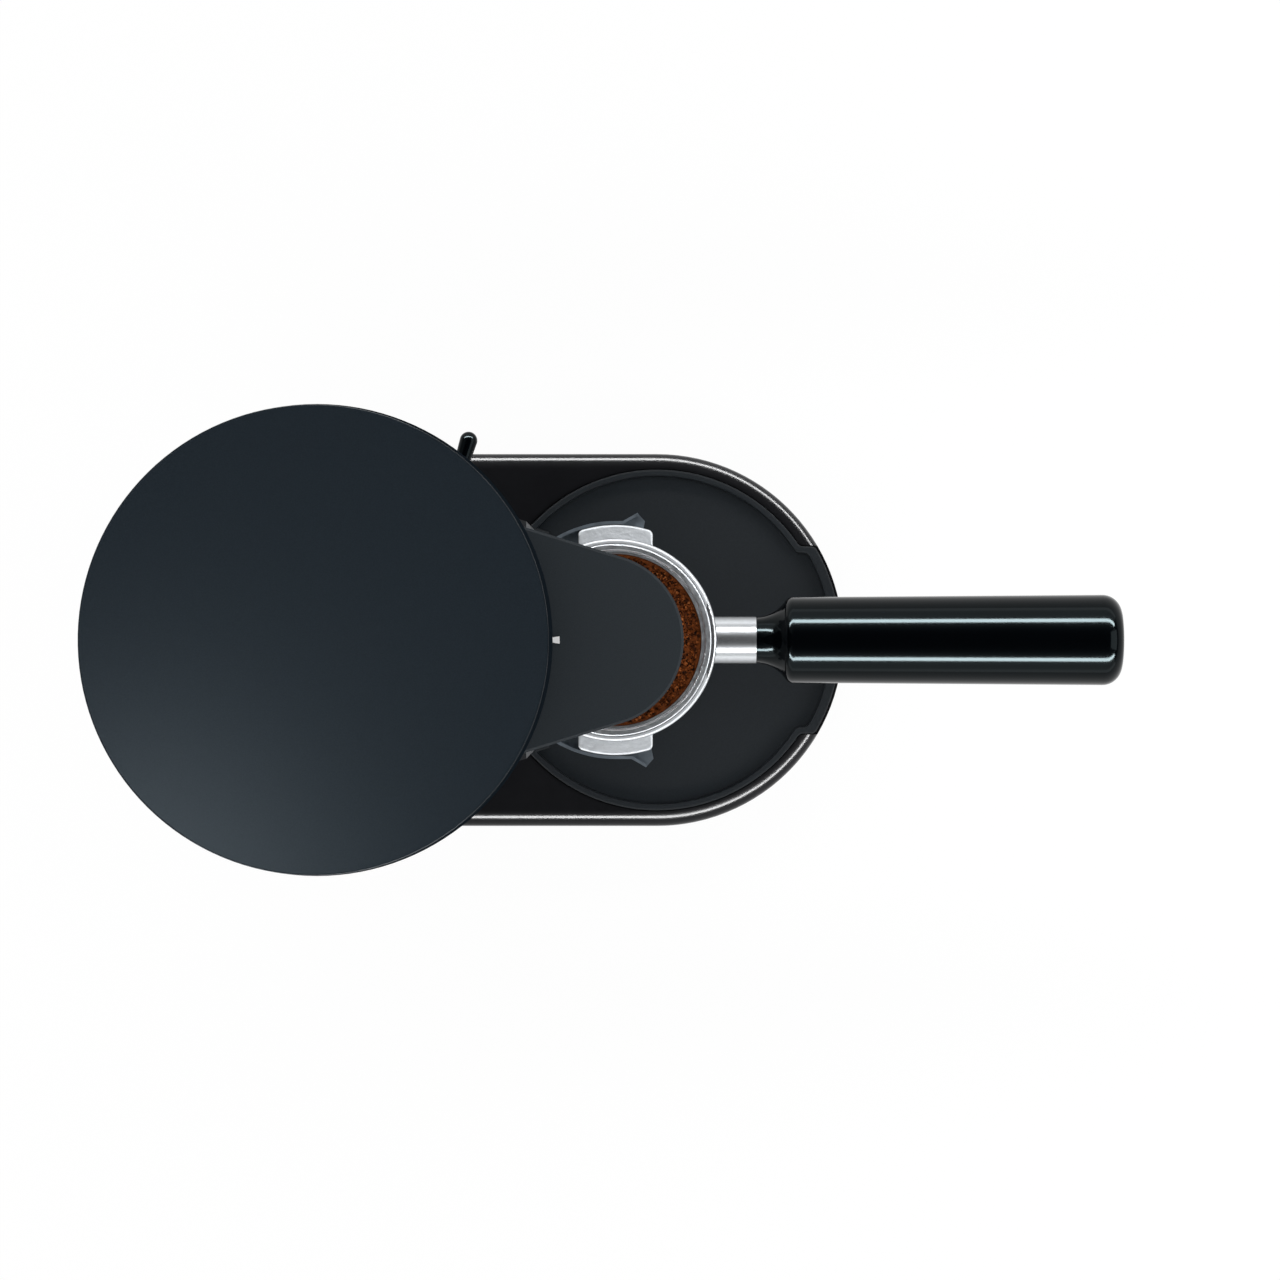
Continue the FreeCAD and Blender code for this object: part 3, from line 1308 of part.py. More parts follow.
os.makedirs("parts", exist_ok=True)
for piece in PIECES:
    shape = piece().translated(vec(-MID_X, 0, 0))
    shape.exportStep("parts/" + piece.__name__ + ".step")
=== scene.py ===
import json
import math
import random

import bpy
from mathutils import Matrix, Vector, noise


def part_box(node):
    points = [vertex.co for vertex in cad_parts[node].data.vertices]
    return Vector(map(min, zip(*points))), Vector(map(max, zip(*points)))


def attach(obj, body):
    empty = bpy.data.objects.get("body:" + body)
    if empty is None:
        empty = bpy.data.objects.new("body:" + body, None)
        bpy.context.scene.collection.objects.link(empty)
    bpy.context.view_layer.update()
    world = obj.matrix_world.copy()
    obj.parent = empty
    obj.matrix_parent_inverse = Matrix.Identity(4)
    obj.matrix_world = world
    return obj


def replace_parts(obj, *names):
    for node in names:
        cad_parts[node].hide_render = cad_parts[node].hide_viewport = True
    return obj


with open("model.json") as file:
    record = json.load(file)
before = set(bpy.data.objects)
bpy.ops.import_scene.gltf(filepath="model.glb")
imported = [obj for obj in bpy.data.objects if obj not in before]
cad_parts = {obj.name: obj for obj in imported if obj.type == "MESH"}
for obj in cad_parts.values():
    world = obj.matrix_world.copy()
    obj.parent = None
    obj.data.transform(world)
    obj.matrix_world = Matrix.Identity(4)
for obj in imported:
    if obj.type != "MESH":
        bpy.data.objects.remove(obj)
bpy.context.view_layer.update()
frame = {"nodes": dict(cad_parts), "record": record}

FULL_TURN = 2 * math.pi

# The picture is 1280 pixels square, taken from straight above
IMAGE_PX = 1280
FOCAL_PX = 4292
SENSOR_MM = 36.0
CAMERA_HEIGHT = 1.6
CAMERA_X = -0.00155

# Where the hopper, the dial, the lid and the portafilter stand, read from the frame
HOPPER_LOW, HOPPER_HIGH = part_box("hopper_wall")
DIAL_LOW, DIAL_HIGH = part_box("dial_ring")
COFFEE_LOW, COFFEE_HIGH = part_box("ground_coffee")
BURR_AXIS_X = (HOPPER_LOW[0] + HOPPER_HIGH[0]) / 2
DIAL_R = (DIAL_HIGH[0] - DIAL_LOW[0]) / 2
COFFEE_X = (COFFEE_LOW[0] + COFFEE_HIGH[0]) / 2
COFFEE_R = (COFFEE_HIGH[0] - COFFEE_LOW[0]) / 2
LID_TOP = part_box("lid")[1][2]
RING_R = COFFEE_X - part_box("portafilter_body")[0][0]


# Shader nodes

# A noise texture's values lie mostly between low and high
NOISE_LOW = 0.3
NOISE_MIDDLE = 0.5
NOISE_HIGH = 0.7


def math_node(tree, operation, first, second=0.0):
    """One step of arithmetic; each side is a number or an output."""
    node = tree.nodes.new("ShaderNodeMath")
    node.operation = operation
    for socket, value in zip(node.inputs, (first, second)):
        if isinstance(value, (int, float)):
            socket.default_value = value
        else:
            tree.links.new(value, socket)
    return node.outputs["Value"]


def ramp_node(tree, fac, stops):
    """A colour ramp through pairs of a position and a colour."""
    node = tree.nodes.new("ShaderNodeValToRGB")
    elements = node.color_ramp.elements
    while len(elements) < len(stops):
        elements.new(0.5)
    for element, (position, colour) in zip(elements, stops):
        element.position = position
        element.color = (*colour, 1.0)
    tree.links.new(fac, node.inputs["Fac"])
    return node.outputs["Color"]


def split_node(tree, vector):
    """The X, Y and Z of a vector."""
    node = tree.nodes.new("ShaderNodeSeparateXYZ")
    tree.links.new(vector, node.inputs["Vector"])
    return node.outputs


def shade(colour, factor):
    return tuple(min(1.0, c * factor) for c in colour)


class Shader:
    """A node material with one principled shader and helpers to feed it."""

    def __init__(self, name):
        self.material = bpy.data.materials.new(name)
        self.material.use_nodes = True
        self.tree = self.material.node_tree
        self.shader = self.tree.nodes["Principled BSDF"]
        self.place = self.tree.nodes.new("ShaderNodeTexCoord").outputs

    def set(self, **values):
        for name, value in values.items():
            self.shader.inputs[name.replace("_", " ")].default_value = value

    def link(self, output, name):
        self.tree.links.new(output, self.shader.inputs[name])

    def noise(self, scale, detail=3.0):
        node = self.tree.nodes.new("ShaderNodeTexNoise")
        node.inputs["Scale"].default_value = scale
        node.inputs["Detail"].default_value = detail
        self.tree.links.new(self.place["Object"], node.inputs["Vector"])
        return node.outputs["Fac"]

    def spread(self, fac, low, high):
        """Noise brought to the range from low to high."""
        node = self.tree.nodes.new("ShaderNodeMapRange")
        node.inputs["From Min"].default_value = NOISE_LOW
        node.inputs["From Max"].default_value = NOISE_HIGH
        node.inputs["To Min"].default_value = low
        node.inputs["To Max"].default_value = high
        self.tree.links.new(fac, node.inputs["Value"])
        return node.outputs["Result"]

    def tone(self, fac, colour, vary):
        """A base colour that gets darker and lighter with the noise."""
        dark = (NOISE_LOW, shade(colour, 1 - vary))
        light = (NOISE_HIGH, shade(colour, 1 + vary))
        self.link(ramp_node(self.tree, fac, [dark, light]), "Base Color")

    def math(self, operation, first, second=0.0):
        return math_node(self.tree, operation, first, second)

    def waver(self, value, fac, amount):
        """A value with a little noise on both sides of it."""
        swing = self.math("SUBTRACT", fac, NOISE_MIDDLE)
        return self.math("ADD", value, self.math("MULTIPLY", swing, amount))

    def bump(self, height, strength, distance):
        node = self.tree.nodes.new("ShaderNodeBump")
        node.inputs["Strength"].default_value = strength
        node.inputs["Distance"].default_value = distance
        self.tree.links.new(height, node.inputs["Height"])
        self.link(node.outputs["Normal"], "Normal")


# Materials

# Patches of uneven roughness: their scale as a share of the grain's, and how far they differ
PLASTIC_PATCH = 0.3
PLASTIC_UNEVEN = 0.08
METAL_PATCH = 0.4
METAL_UNEVEN = 0.2
# Depth of the grain
PLASTIC_DEPTH = 0.0002
METAL_DEPTH = 0.0003
NO_TINT = (1.0, 1.0, 1.0)


def grained(name, colour, vary, grain, bump, depth):
    """A shader with an uneven colour, and its grain raised where bump isn't 0."""
    s = Shader(name)
    fac = s.noise(grain)
    s.tone(fac, colour, vary)
    if bump:
        s.bump(fac, bump, depth)
    return s


def patchy(s, rough, uneven, scale):
    """Roughness that differs a little from patch to patch."""
    s.link(s.spread(s.noise(scale), rough * (1 - uneven), rough * (1 + uneven)), "Roughness")


def plastic(name, colour, rough, grain, bump=0.0, specular=0.5, vary=0.12, tint=NO_TINT):
    s = grained(name, colour, vary, grain, bump, PLASTIC_DEPTH)
    patchy(s, rough, PLASTIC_UNEVEN, grain * PLASTIC_PATCH)
    s.set(Specular_IOR_Level=specular, Specular_Tint=(*tint, 1.0))
    return s.material


def metal(name, colour, rough, grain, bump=0.0, vary=0.06):
    s = grained(name, colour, vary, grain, bump, METAL_DEPTH)
    patchy(s, rough, METAL_UNEVEN, grain * METAL_PATCH)
    s.set(Metallic=1.0)
    return s.material


# The portafilter's metal, in one node: ring, cast lugs and neck
PORTAFILTER_COLOUR = (0.85, 0.88, 0.91)
PORTAFILTER_GRAIN = 900.0
PORTAFILTER_WAVER = 0.1
PORTAFILTER_TINT = (0.3, 0.3, 0.3, 1.0)
# Share of the colour that is left, by how level the face is: painted shade, darker on upright
# faces
PAINTED_SHADE_BY_LEVEL = [(0.0, 0.38), (0.3, 0.42), (0.5, 0.58), (0.7, 1.0)]
SATIN_ROUGH = 0.5
CAST_ROUGH = 0.6
NECK_ROUGH = 0.25
RING_MARGIN = 0.0002
NECK_START = RING_R * 0.9
CAST_GRAIN = 450.0
CAST_DETAIL = 4.0
CAST_BUMP = 0.7
CAST_DEPTH = 0.0004


def portafilter_metal(name):
    """Satin ring, matte cast lugs and a polished neck, with shade painted darker on upright
    faces.
    """
    s = Shader(name)
    fac = s.noise(PORTAFILTER_GRAIN)
    # Painted shade: the base colour is darkened on upright faces, by how level the face is
    level = s.math("ABSOLUTE", split_node(s.tree, s.place["Normal"])["Z"])
    level = s.waver(level, fac, PORTAFILTER_WAVER)
    stops = [(position, shade(PORTAFILTER_COLOUR, share)) for position, share in PAINTED_SHADE_BY_LEVEL]
    s.link(ramp_node(s.tree, level, stops), "Base Color")
    s.set(Metallic=1.0, Specular_Tint=PORTAFILTER_TINT)

    axes = split_node(s.tree, s.place["Object"])
    from_ring = s.math("SUBTRACT", axes["X"], COFFEE_X)
    squares = s.math("ADD", s.math("POWER", from_ring, 2), s.math("POWER", axes["Y"], 2))
    radius = s.math("POWER", squares, 0.5)
    outside = s.math("GREATER_THAN", radius, RING_R + RING_MARGIN)
    neck = s.math("GREATER_THAN", from_ring, NECK_START)
    lug = s.math("MULTIPLY", outside, s.math("SUBTRACT", 1, neck))

    rough = s.math("ADD", SATIN_ROUGH, s.math("MULTIPLY", lug, CAST_ROUGH - SATIN_ROUGH))
    rough = s.math("ADD", rough, s.math("MULTIPLY", neck, NECK_ROUGH - SATIN_ROUGH))
    s.link(s.waver(rough, fac, PORTAFILTER_WAVER), "Roughness")
    cast = s.noise(CAST_GRAIN, CAST_DETAIL)
    s.bump(s.math("MULTIPLY", cast, lug), CAST_BUMP, CAST_DEPTH)
    return s.material


# The lid: its flat top, the rounded edge below that and the side
LID_COLOUR = (0.0112, 0.0168, 0.023)
LID_VARY = 0.12
LID_GRAIN = 2500.0
LID_BUMP = 0.03
LID_WAVER = 0.04
LID_TINT = (0.75, 0.9, 1.0, 1.0)
LID_FLAT = 0.00004
LID_EDGE = 0.0005
LID_ROUGH = 0.22
LID_SIDE_ROUGH = 0.8
LID_GLOSS = 0.5
EDGE_GLOSS = 0.1


def lid_plastic(name):
    """Satin on top, less gloss on the rounded edge and none on the side."""
    s = Shader(name)
    fac = s.noise(LID_GRAIN)
    s.tone(fac, LID_COLOUR, LID_VARY)
    height = split_node(s.tree, s.place["Object"])["Z"]
    edge = s.math("LESS_THAN", height, LID_TOP - LID_FLAT)
    side = s.math("LESS_THAN", height, LID_TOP - LID_EDGE)
    rough = s.math("ADD", LID_ROUGH, s.math("MULTIPLY", side, LID_SIDE_ROUGH - LID_ROUGH))
    s.link(s.waver(rough, fac, LID_WAVER), "Roughness")
    edge_drop = s.math("MULTIPLY", edge, LID_GLOSS - EDGE_GLOSS)
    side_drop = s.math("MULTIPLY", side, EDGE_GLOSS)
    drop = s.math("ADD", edge_drop, side_drop)
    s.link(s.math("SUBTRACT", LID_GLOSS, drop), "Specular IOR Level")
    s.set(Specular_Tint=LID_TINT)
    s.bump(fac, LID_BUMP, PLASTIC_DEPTH)
    return s.material


SMOKE_COLOUR = (0.42, 0.43, 0.45)
SMOKE_VARY = 0.05
SMOKE_GRAIN = 30.0
SMOKE_IOR = 1.45


def smoked(name):
    """Clear plastic, tinted a little unevenly."""
    s = Shader(name)
    s.tone(s.noise(SMOKE_GRAIN), SMOKE_COLOUR, SMOKE_VARY)
    s.set(Roughness=0.0, Transmission_Weight=1.0, IOR=SMOKE_IOR)
    return s.material


COFFEE_BROWNS = [
    (0.0, (0.008, 0.0024, 0.001)),
    (0.4, (0.072, 0.018, 0.0045)),
    (0.8, (0.25, 0.063, 0.011)),
    (1.0, (0.42, 0.135, 0.04)),
]
COFFEE_GRAIN = 900.0
COFFEE_DETAIL = 2.0
COFFEE_ROUGH = (0.5, 0.8)
COFFEE_GLOSS = 0.1
COFFEE_BUMP = 0.5
COFFEE_DEPTH = 0.0006
# Factor on a grain's own shade: this much of the noise, and what is added to that
COFFEE_MOTTLE = 0.5
COFFEE_FROM = 0.75


def coffee_material(name):
    """Roasted brown, from near black to orange brown, differing from grain to grain."""
    s = Shader(name)
    grain = s.tree.nodes.new("ShaderNodeNewGeometry").outputs["Random Per Island"]
    fac = s.noise(COFFEE_GRAIN, COFFEE_DETAIL)
    mottle = s.math("ADD", s.math("MULTIPLY", fac, COFFEE_MOTTLE), COFFEE_FROM)
    s.link(ramp_node(s.tree, s.math("MULTIPLY", mottle, grain), COFFEE_BROWNS), "Base Color")
    s.link(s.spread(fac, *COFFEE_ROUGH), "Roughness")
    s.set(Specular_IOR_Level=COFFEE_GLOSS)
    s.bump(fac, COFFEE_BUMP, COFFEE_DEPTH)
    return s.material


PLASTICS = {
    "base_gloss": dict(colour=(0.0175, 0.018, 0.0208), rough=0.2, grain=40, specular=0.12),
    "matte_black": dict(colour=(0.0173, 0.0223, 0.0267), rough=0.6, grain=2500, bump=0.05,
                        specular=0.2),
    # Painted shade: a darker copy of matte black for the tray, which sits lower and gets less
    # light
    "tray_black_painted_shade": dict(colour=(0.0128, 0.0174, 0.0218), rough=0.55, grain=2500, bump=0.05,
                       specular=0.2),
    "body_grey": dict(colour=(0.03, 0.032, 0.035), rough=0.35, grain=1800, bump=0.03),
    "mark_white": dict(colour=(0.8, 0.8, 0.8), rough=0.5, grain=300, vary=0.03),
    "rubber": dict(colour=(0.012, 0.012, 0.012), rough=0.8, grain=900, bump=0.1, specular=0.3),
    "handle_black": dict(colour=(0.0012, 0.002, 0.0033), rough=0.12, grain=40, specular=0.1,
                         tint=(0.75, 0.95, 1.0)),
    "nylon": dict(colour=(0.72, 0.7, 0.64), rough=0.45, grain=300, vary=0.05),
    "magnet": dict(colour=(0.05, 0.05, 0.055), rough=0.6, grain=500, bump=0.1),
    "board_green": dict(colour=(0.02, 0.12, 0.05), rough=0.4, grain=400),
    "switch_black": dict(colour=(0.015, 0.015, 0.017), rough=0.5, grain=900, bump=0.03),
    "silicone": dict(colour=(0.55, 0.55, 0.54), rough=0.6, grain=300),
}
METALS = {
    "fork_grey": dict(colour=(0.24, 0.28, 0.32), rough=0.5, grain=700, bump=0.04),
    "basket_steel": dict(colour=(0.74, 0.77, 0.80), rough=0.36, grain=1500),
    "steel": dict(colour=(0.56, 0.57, 0.58), rough=0.3, grain=200),
    "burr_steel": dict(colour=(0.42, 0.43, 0.44), rough=0.35, grain=400),
    "screw_zinc": dict(colour=(0.6, 0.6, 0.58), rough=0.3, grain=300),
    "brass": dict(colour=(0.72, 0.55, 0.25), rough=0.3, grain=200),
    "alu": dict(colour=(0.62, 0.63, 0.64), rough=0.45, grain=500, bump=0.05),
    "motor_can": dict(colour=(0.4, 0.41, 0.42), rough=0.35, grain=150),
}
OTHERS = {
    "lid_black": lid_plastic,
    "smoke": smoked,
    "polished": portafilter_metal,
    "coffee": coffee_material,
}
MATERIALS = {name: plastic(name, **look) for name, look in PLASTICS.items()}
MATERIALS.update({name: metal(name, **look) for name, look in METALS.items()})
MATERIALS.update({name: make(name) for name, make in OTHERS.items()})

# Nodes that get a darker copy of their slot's material, with painted shade for the lower light
# they get
PAINTED_SHADE_COPIES = {"drip_tray": "tray_black_painted_shade"}


def dress_nodes():
    """Give each CAD node the material of its slot, or a darker copy of it with painted shade."""
    for part in frame["record"]["subparts"]:
        material_name = PAINTED_SHADE_COPIES.get(part["node"], part["material_slot"])
        node = frame["nodes"][part["node"]]
        node.data.materials.clear()
        node.data.materials.append(MATERIALS[material_name])


# Pieces made here

def new_piece(name, vertices, faces, material):
    mesh = bpy.data.meshes.new(name)
    mesh.from_pydata(vertices, [], faces)
    mesh.materials.append(material)
    mesh.update()
    piece = bpy.data.objects.new(name, mesh)
    bpy.context.scene.collection.objects.link(piece)
    return piece


def add_mesh(name, vertices, faces, slot, body, smooth=False):
    """A piece of the part that moves with a body."""
    piece = new_piece(name, vertices, faces, MATERIALS[slot])
    if smooth:
        piece.data.polygons.foreach_set("use_smooth", [True] * len(faces))
    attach(piece, body)
    return piece


def moved(faces, first):
    """The same faces on a set of points that starts at the given number."""
    return [tuple(first + corner for corner in face) for face in faces]


# Ground coffee: a heaped bed with loose grains on it
HEAP = 0.0036
HEAP_MARGIN = 0.0012
EDGE_Z = COFFEE_HIGH[2] - HEAP - HEAP_MARGIN
LUMP_SCALE = 450.0
LUMP_HEIGHT = 0.0007
FINE_SCALE = 1500.0
FINE_HEIGHT = 0.0004
# The height at which the finer noise is read, so that it differs from the lumps
FINE_SLICE = 0.01
BED_RINGS = 44
BED_STEPS = 180


def coffee_point(x, y):
    """The point on the heap's surface at a place seen from its middle."""
    share = min(1.0, math.hypot(x, y) / COFFEE_R)
    lump = noise.noise(Vector((x, y, 0.0)) * LUMP_SCALE) * LUMP_HEIGHT
    fine = noise.noise(Vector((x, y, FINE_SLICE)) * FINE_SCALE) * FINE_HEIGHT
    height = HEAP * 0.5 * (1 + math.cos(math.pi * share)) + lump + fine
    return COFFEE_X + x, y, EDGE_Z + height


def bed_face(start, step):
    """A face between the ring that starts at this point and the next ring."""
    here = start + step
    following = start + (step + 1) % BED_STEPS
    return here, here + BED_STEPS, following + BED_STEPS, following


def coffee_bed():
    """The heap as one closed mesh: top, side and underside."""
    vertices = [coffee_point(0.0, 0.0)]
    for ring in range(1, BED_RINGS + 1):
        r = COFFEE_R * ring / BED_RINGS
        for step in range(BED_STEPS):
            turn = FULL_TURN * step / BED_STEPS
            vertices.append(coffee_point(r * math.cos(turn), r * math.sin(turn)))
    low = len(vertices)
    outer = low - BED_STEPS
    vertices += [(x, y, COFFEE_LOW[2]) for x, y, _ in vertices[outer:]]

    faces = []
    for step in range(BED_STEPS):
        faces.append((0, 1 + step, 1 + (step + 1) % BED_STEPS))
        faces += [bed_face(start, step) for start in range(1, outer, BED_STEPS)]
    faces += [bed_face(outer, step) for step in range(BED_STEPS)]
    faces.append(tuple(reversed(range(low, low + BED_STEPS))))
    return add_mesh("coffee_bed", vertices, faces, "coffee", "portafilter", True)


GRAINS = 4600
GRAIN_SEED = 7
GRAIN_MIN = 0.0004
GRAIN_MAX = 0.0009
GRAIN_LIFT = GRAIN_MIN * 0.4
GRAIN_SPIN = 6.28
GRAIN_ROUND = 0.6
# Keeps the axis that a grain is turned about from having no length
AXIS_MIN = 0.1
GRAIN_CORNERS = [(1, 0, 0), (-1, 0, 0), (0, 1, 0), (0, -1, 0), (0, 0, 1), (0, 0, -1)]
GRAIN_FACES = [
    (0, 2, 4), (2, 1, 4), (1, 3, 4), (3, 0, 4),
    (2, 0, 5), (1, 2, 5), (3, 1, 5), (0, 3, 5),
]


def coffee_grains():
    """Loose grains: small rough lumps scattered over the bed."""
    draw = random.Random(GRAIN_SEED)
    vertices = []
    faces = []
    for _ in range(GRAINS):
        r = (COFFEE_R - GRAIN_MAX) * math.sqrt(draw.random())
        turn = draw.uniform(0, FULL_TURN)
        x, y, z = coffee_point(r * math.cos(turn), r * math.sin(turn))
        centre = Vector((x, y, z + GRAIN_LIFT))
        angle = draw.uniform(0, GRAIN_SPIN)
        axis = Vector((draw.random(), draw.random(), draw.random() + AXIS_MIN))
        spin = Matrix.Rotation(angle, 3, axis)
        size = draw.uniform(GRAIN_MIN, GRAIN_MAX)
        faces += moved(GRAIN_FACES, len(vertices))
        for corner in GRAIN_CORNERS:
            reach = Vector(corner) * size * draw.uniform(GRAIN_ROUND, 1.0)
            vertices.append(centre + spin @ reach)
    add_mesh("coffee_grains", vertices, faces, "coffee", "portafilter")


# Scale on the dial ring: white ticks and numbers on its plain lower band
DIAL_NUMBERS = 24
TICKS_PER_NUMBER = 4
MARK_PROUD = 0.00008
TICK_SUNK = 0.0001
BAND_MARGIN = 0.0006
BAND_LOW = DIAL_LOW[2] + BAND_MARGIN
TICK_HIGH = 0.0010
LONG_TICK_HIGH = 0.0015
TICK_HALF = 0.00018
TICK_FACES = [(0, 1, 3, 2), (4, 6, 7, 5), (0, 4, 5, 1), (2, 3, 7, 6), (0, 2, 6, 4), (1, 5, 7, 3)]
NUMBER_SIZE = 0.0032
NUMBER_GAP = 0.0004


def dial_ticks():
    """A thin block for each tick, longer at the numbers."""
    vertices = []
    faces = []
    count = DIAL_NUMBERS * TICKS_PER_NUMBER
    for i in range(count):
        turn = FULL_TURN * i / count
        high = LONG_TICK_HIGH if i % TICKS_PER_NUMBER == 0 else TICK_HIGH
        out = Vector((math.cos(turn), math.sin(turn), 0))
        along = Vector((-math.sin(turn), math.cos(turn), 0))
        faces += moved(TICK_FACES, len(vertices))
        for r in (DIAL_R - TICK_SUNK, DIAL_R + MARK_PROUD):
            for half in (-TICK_HALF, TICK_HALF):
                for z in (BAND_LOW, BAND_LOW + high):
                    vertices.append(Vector((BURR_AXIS_X, 0, z)) + out * r + along * half)
    add_mesh("dial_ticks", vertices, faces, "mark_white", "hopper")


def number_mesh(text):
    """A number as a thin flat mesh."""
    curve = bpy.data.curves.new("number", "FONT")
    curve.body = text
    curve.size = NUMBER_SIZE
    curve.align_x = "CENTER"
    curve.extrude = MARK_PROUD
    holder = bpy.data.objects.new("number", curve)
    mesh = bpy.data.meshes.new_from_object(holder)
    bpy.data.objects.remove(holder)
    return mesh


def dial_numbers():
    """The numbers, bent around the ring above the ticks."""
    base_z = BAND_LOW + LONG_TICK_HIGH + NUMBER_GAP
    vertices = []
    faces = []
    for i in range(DIAL_NUMBERS):
        mesh = number_mesh(str(i + 1))
        turn = FULL_TURN * i / DIAL_NUMBERS
        faces += moved([face.vertices for face in mesh.polygons], len(vertices))
        for vertex in mesh.vertices:
            angle = turn + vertex.co.x / DIAL_R
            r = DIAL_R + vertex.co.z
            x = BURR_AXIS_X + r * math.cos(angle)
            vertices.append((x, r * math.sin(angle), base_z + vertex.co.y))
        bpy.data.meshes.remove(mesh)
    add_mesh("dial_numbers", vertices, faces, "mark_white", "hopper")


# Studio

FLOOR_WHITE = 0.95
# The share of the floor's look that is white whatever the light; the rest takes the shadow
FLOOR_GLOW = 0.95
STUDIO_R = 6.0
BACKDROP_H = 0.9
BACKDROP_SIDES = 64


def seen_rays(tree, share):
    """The given share for camera, glossy and transmission rays, and 0 for the rest."""
    path = tree.nodes.new("ShaderNodeLightPath").outputs
    seen = math_node(tree, "MAXIMUM", path["Is Camera Ray"], path["Is Glossy Ray"])
    seen = math_node(tree, "MAXIMUM", seen, path["Is Transmission Ray"])
    return math_node(tree, "MULTIPLY", seen, share)


def floor_material():
    """White to the camera and to reflections, and still darkened a little by shadow."""
    material = bpy.data.materials.new("studio_floor")
    material.use_nodes = True
    tree = material.node_tree
    tree.nodes.clear()
    out = tree.nodes.new("ShaderNodeOutputMaterial")
    mix = tree.nodes.new("ShaderNodeMixShader")
    plain = tree.nodes.new("ShaderNodeBsdfDiffuse")
    plain.inputs["Color"].default_value = (FLOOR_WHITE, FLOOR_WHITE, FLOOR_WHITE, 1)
    glow = tree.nodes.new("ShaderNodeEmission")
    glow.inputs["Strength"].default_value = 1.0
    tree.links.new(seen_rays(tree, FLOOR_GLOW), mix.inputs["Fac"])
    tree.links.new(plain.outputs["BSDF"], mix.inputs[1])
    tree.links.new(glow.outputs["Emission"], mix.inputs[2])
    tree.links.new(mix.outputs["Shader"], out.inputs["Surface"])
    return material


def stage_mesh(name, vertices, faces, material):
    piece = new_piece(name, vertices, faces, material)
    return piece


def studio_floor():
    """A round floor, and a low backdrop around it that gives no diffuse light or shadow."""
    turns = [FULL_TURN * i / BACKDROP_SIDES for i in range(BACKDROP_SIDES)]
    rim = [(STUDIO_R * math.cos(turn), STUDIO_R * math.sin(turn)) for turn in turns]
    low = [(x, y, 0) for x, y in rim]
    high = [(x, y, BACKDROP_H) for x, y in rim]
    material = floor_material()
    stage_mesh("studio_floor", low, [tuple(range(BACKDROP_SIDES))], material)
    sides = []
    for i in range(BACKDROP_SIDES):
        following = (i + 1) % BACKDROP_SIDES
        sides.append((i, following, BACKDROP_SIDES + following, BACKDROP_SIDES + i))
    backdrop = stage_mesh("studio_backdrop", low + high, sides, material)
    backdrop.visible_diffuse = False
    backdrop.visible_shadow = False


# The surround's brightness by how far up it is, and its share by how far in front
SKY_LEVELS = [(0.0, 0.4), (0.5, 0.4), (0.75, 0.5), (0.92, 0.1), (1.0, 0.04)]
FRONT_SHARES = [(0.0, 1.0), (0.5, 0.35)]


def grey_ramp(tree, fac, levels):
    return ramp_node(tree, fac, [(position, (level,) * 3) for position, level in levels])


def studio_world():
    """A pale surround, darker straight above and in front of the object."""
    world = bpy.data.worlds.new("studio")
    bpy.context.scene.world = world
    world.use_nodes = True
    tree = world.node_tree
    place = tree.nodes.new("ShaderNodeTexCoord").outputs
    axes = split_node(tree, place["Generated"])
    levels = grey_ramp(tree, axes["Z"], SKY_LEVELS)
    shares = grey_ramp(tree, axes["X"], FRONT_SHARES)
    product = math_node(tree, "MULTIPLY", levels, shares)
    tree.links.new(product, tree.nodes["Background"].inputs["Color"])


def area_light(name, place, aim, size, level):
    """A rectangle of the given brightness, aimed at a point and unseen by the camera."""
    lamp = bpy.data.lights.new(name, "AREA")
    lamp.shape = "RECTANGLE"
    lamp.size, lamp.size_y = size
    lamp.energy = level * math.pi * size[0] * size[1]
    holder = bpy.data.objects.new(name, lamp)
    holder.location = place
    holder.rotation_euler = (Vector(aim) - Vector(place)).to_track_quat("-Z", "Y").to_euler()
    holder.visible_camera = False
    bpy.context.scene.collection.objects.link(holder)
    return holder


def link_light(light, node_names, state):
    """Let a light fall only on the named nodes, or on all but them."""
    targets = bpy.data.collections.new(light.name + "_targets")
    for name in node_names:
        targets.objects.link(frame["nodes"][name])
    for target in targets.collection_objects:
        target.light_linking.link_state = state
    light.light_linking.receiver_collection = targets


def gloss_strip(name, place, aim, size, level, node_names):
    """A strip that is seen in the named nodes' gloss and adds no diffuse light."""
    strip = area_light(name, place, aim, size, level)
    strip.visible_diffuse = False
    link_light(strip, node_names, "INCLUDE")


# Nodes with lights of their own, and nodes behind the hopper's clear wall
GRIPS = ["portafilter_handle", "toggle_lever"]
BASE = ["base_body"]
LID = ["lid"]
TRAY = ["drip_tray"]
INSIDE = ["hopper_funnel", "hopper_neck", "lid_seal"]
NOT_IN_STRIPS = GRIPS + BASE + LID + TRAY + INSIDE

# The strips stand on both sides, at the same x as what they aim at
STRIP_X = 0.1
STRIP_Y = 0.97
STRIP_Z = 0.88
STRIP_AIM = (STRIP_X, 0, 0.1)
STRIP_SIZE = (3.0, 0.2)
STRIP_LEVEL = 8
GRIPS_LEVEL = 90
TRAY_LEVEL = 9
FLANK_Y = 1.2
FLANK_Z = 0.42
FLANK_AIM = (STRIP_X, 0, 0.15)
FLANK_SIZE = (3.0, 0.7)
FLANK_LEVEL = 1.3

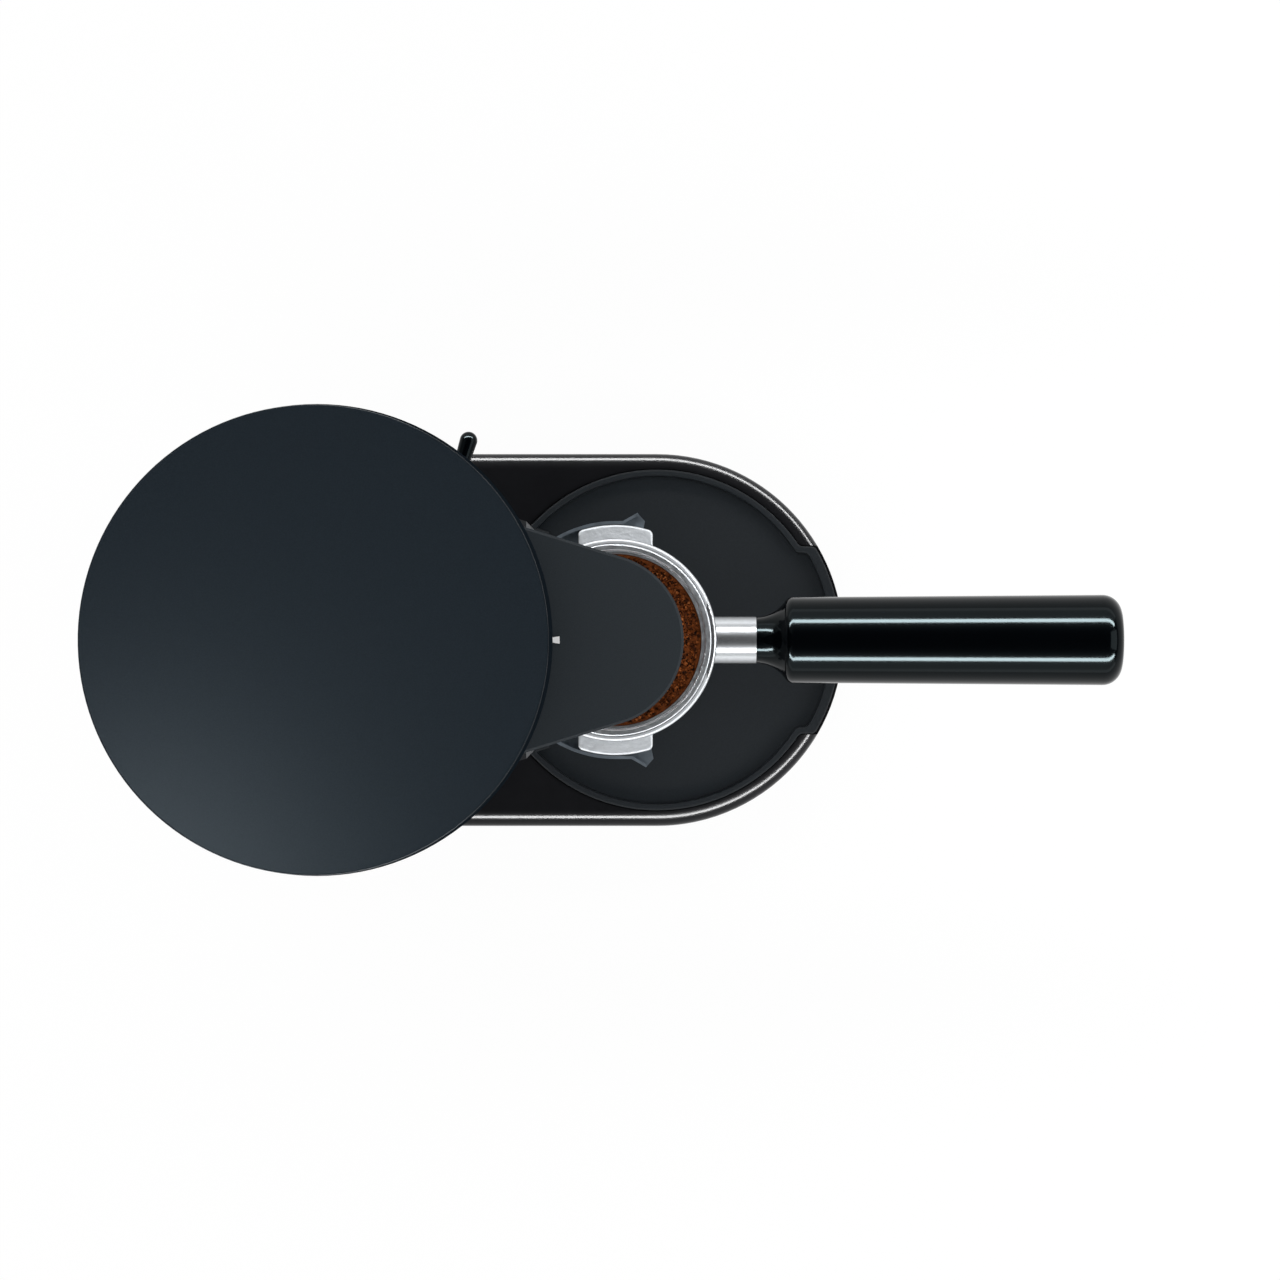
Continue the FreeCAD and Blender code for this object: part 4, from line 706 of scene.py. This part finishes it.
# Strips for the bright lines along single edges
RIM_SIZE = (4.0, 0.32)
LID_X = -0.1
LID_AIM = (LID_X, 0, 0.36)
RIM_STRIPS = [
    dict(name="left_rim", place=(STRIP_X, 1.0, 0.1), aim=(STRIP_X, 0, 0.03), size=RIM_SIZE,
         level=70, node_names=BASE),
    dict(name="right_rim", place=(STRIP_X, -STRIP_Y, 0.75), aim=STRIP_AIM, size=RIM_SIZE,
         level=90, node_names=BASE),
    dict(name="lid_left_rim", place=(LID_X, 1.0, 0.1), aim=LID_AIM, size=(0.8, 0.3),
         level=14, node_names=LID),
    dict(name="lid_right_rim", place=(LID_X, -1.0, 0.1), aim=LID_AIM, size=(1.6, 0.3),
         level=25, node_names=LID),
]

SOFTBOX = dict(place=(-0.255, -0.149, 1.27), aim=(-0.148, -0.069, 0.37), size=(0.16, 0.16),
               level=3.1)
TOP_FILL = dict(place=(LID_X, 0, 1.7), aim=(LID_X, 0, 0.37), size=(1.0, 1.0), level=3.6)
FRONT_FILL = dict(place=(1.1, 0, 0.9), aim=(0.05, 0, 0.05), size=(0.9, 0.9), level=2.5)


def studio_lights():
    """Soft and gloss strips on both sides, a softbox over the lid, fills above and in front."""
    for name, side in (("left", 1), ("right", -1)):
        place = (STRIP_X, side * STRIP_Y, STRIP_Z)
        flank_place = (STRIP_X, side * FLANK_Y, FLANK_Z)
        soft = area_light(name + "_strip", place, STRIP_AIM, STRIP_SIZE, STRIP_LEVEL)
        link_light(soft, NOT_IN_STRIPS, "EXCLUDE")
        gloss_strip(name + "_gloss", place, STRIP_AIM, STRIP_SIZE, GRIPS_LEVEL, GRIPS)
        gloss_strip(name + "_tray", place, STRIP_AIM, STRIP_SIZE, TRAY_LEVEL, TRAY)
        gloss_strip(name + "_flank", flank_place, FLANK_AIM, FLANK_SIZE, FLANK_LEVEL, GRIPS)
    for strip in RIM_STRIPS:
        gloss_strip(**strip)
    link_light(area_light("lid_softbox", **SOFTBOX), LID, "INCLUDE")
    over = area_light("top_fill", **TOP_FILL)
    over.visible_glossy = False
    link_light(over, LID + TRAY, "INCLUDE")
    link_light(area_light("front_fill", **FRONT_FILL), LID + INSIDE, "EXCLUDE")


def studio_camera():
    data = bpy.data.cameras.new("camera")
    data.sensor_width = SENSOR_MM
    data.lens = SENSOR_MM * FOCAL_PX / IMAGE_PX
    camera = bpy.data.objects.new("camera", data)
    camera.location = (CAMERA_X, 0, CAMERA_HEIGHT)
    bpy.context.scene.collection.objects.link(camera)
    bpy.context.scene.camera = camera


dress_nodes()
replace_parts(coffee_bed(), "ground_coffee")
coffee_grains()
dial_ticks()
dial_numbers()
studio_floor()
studio_world()
studio_lights()
studio_camera()
bpy.context.scene.view_settings.view_transform = "Standard"
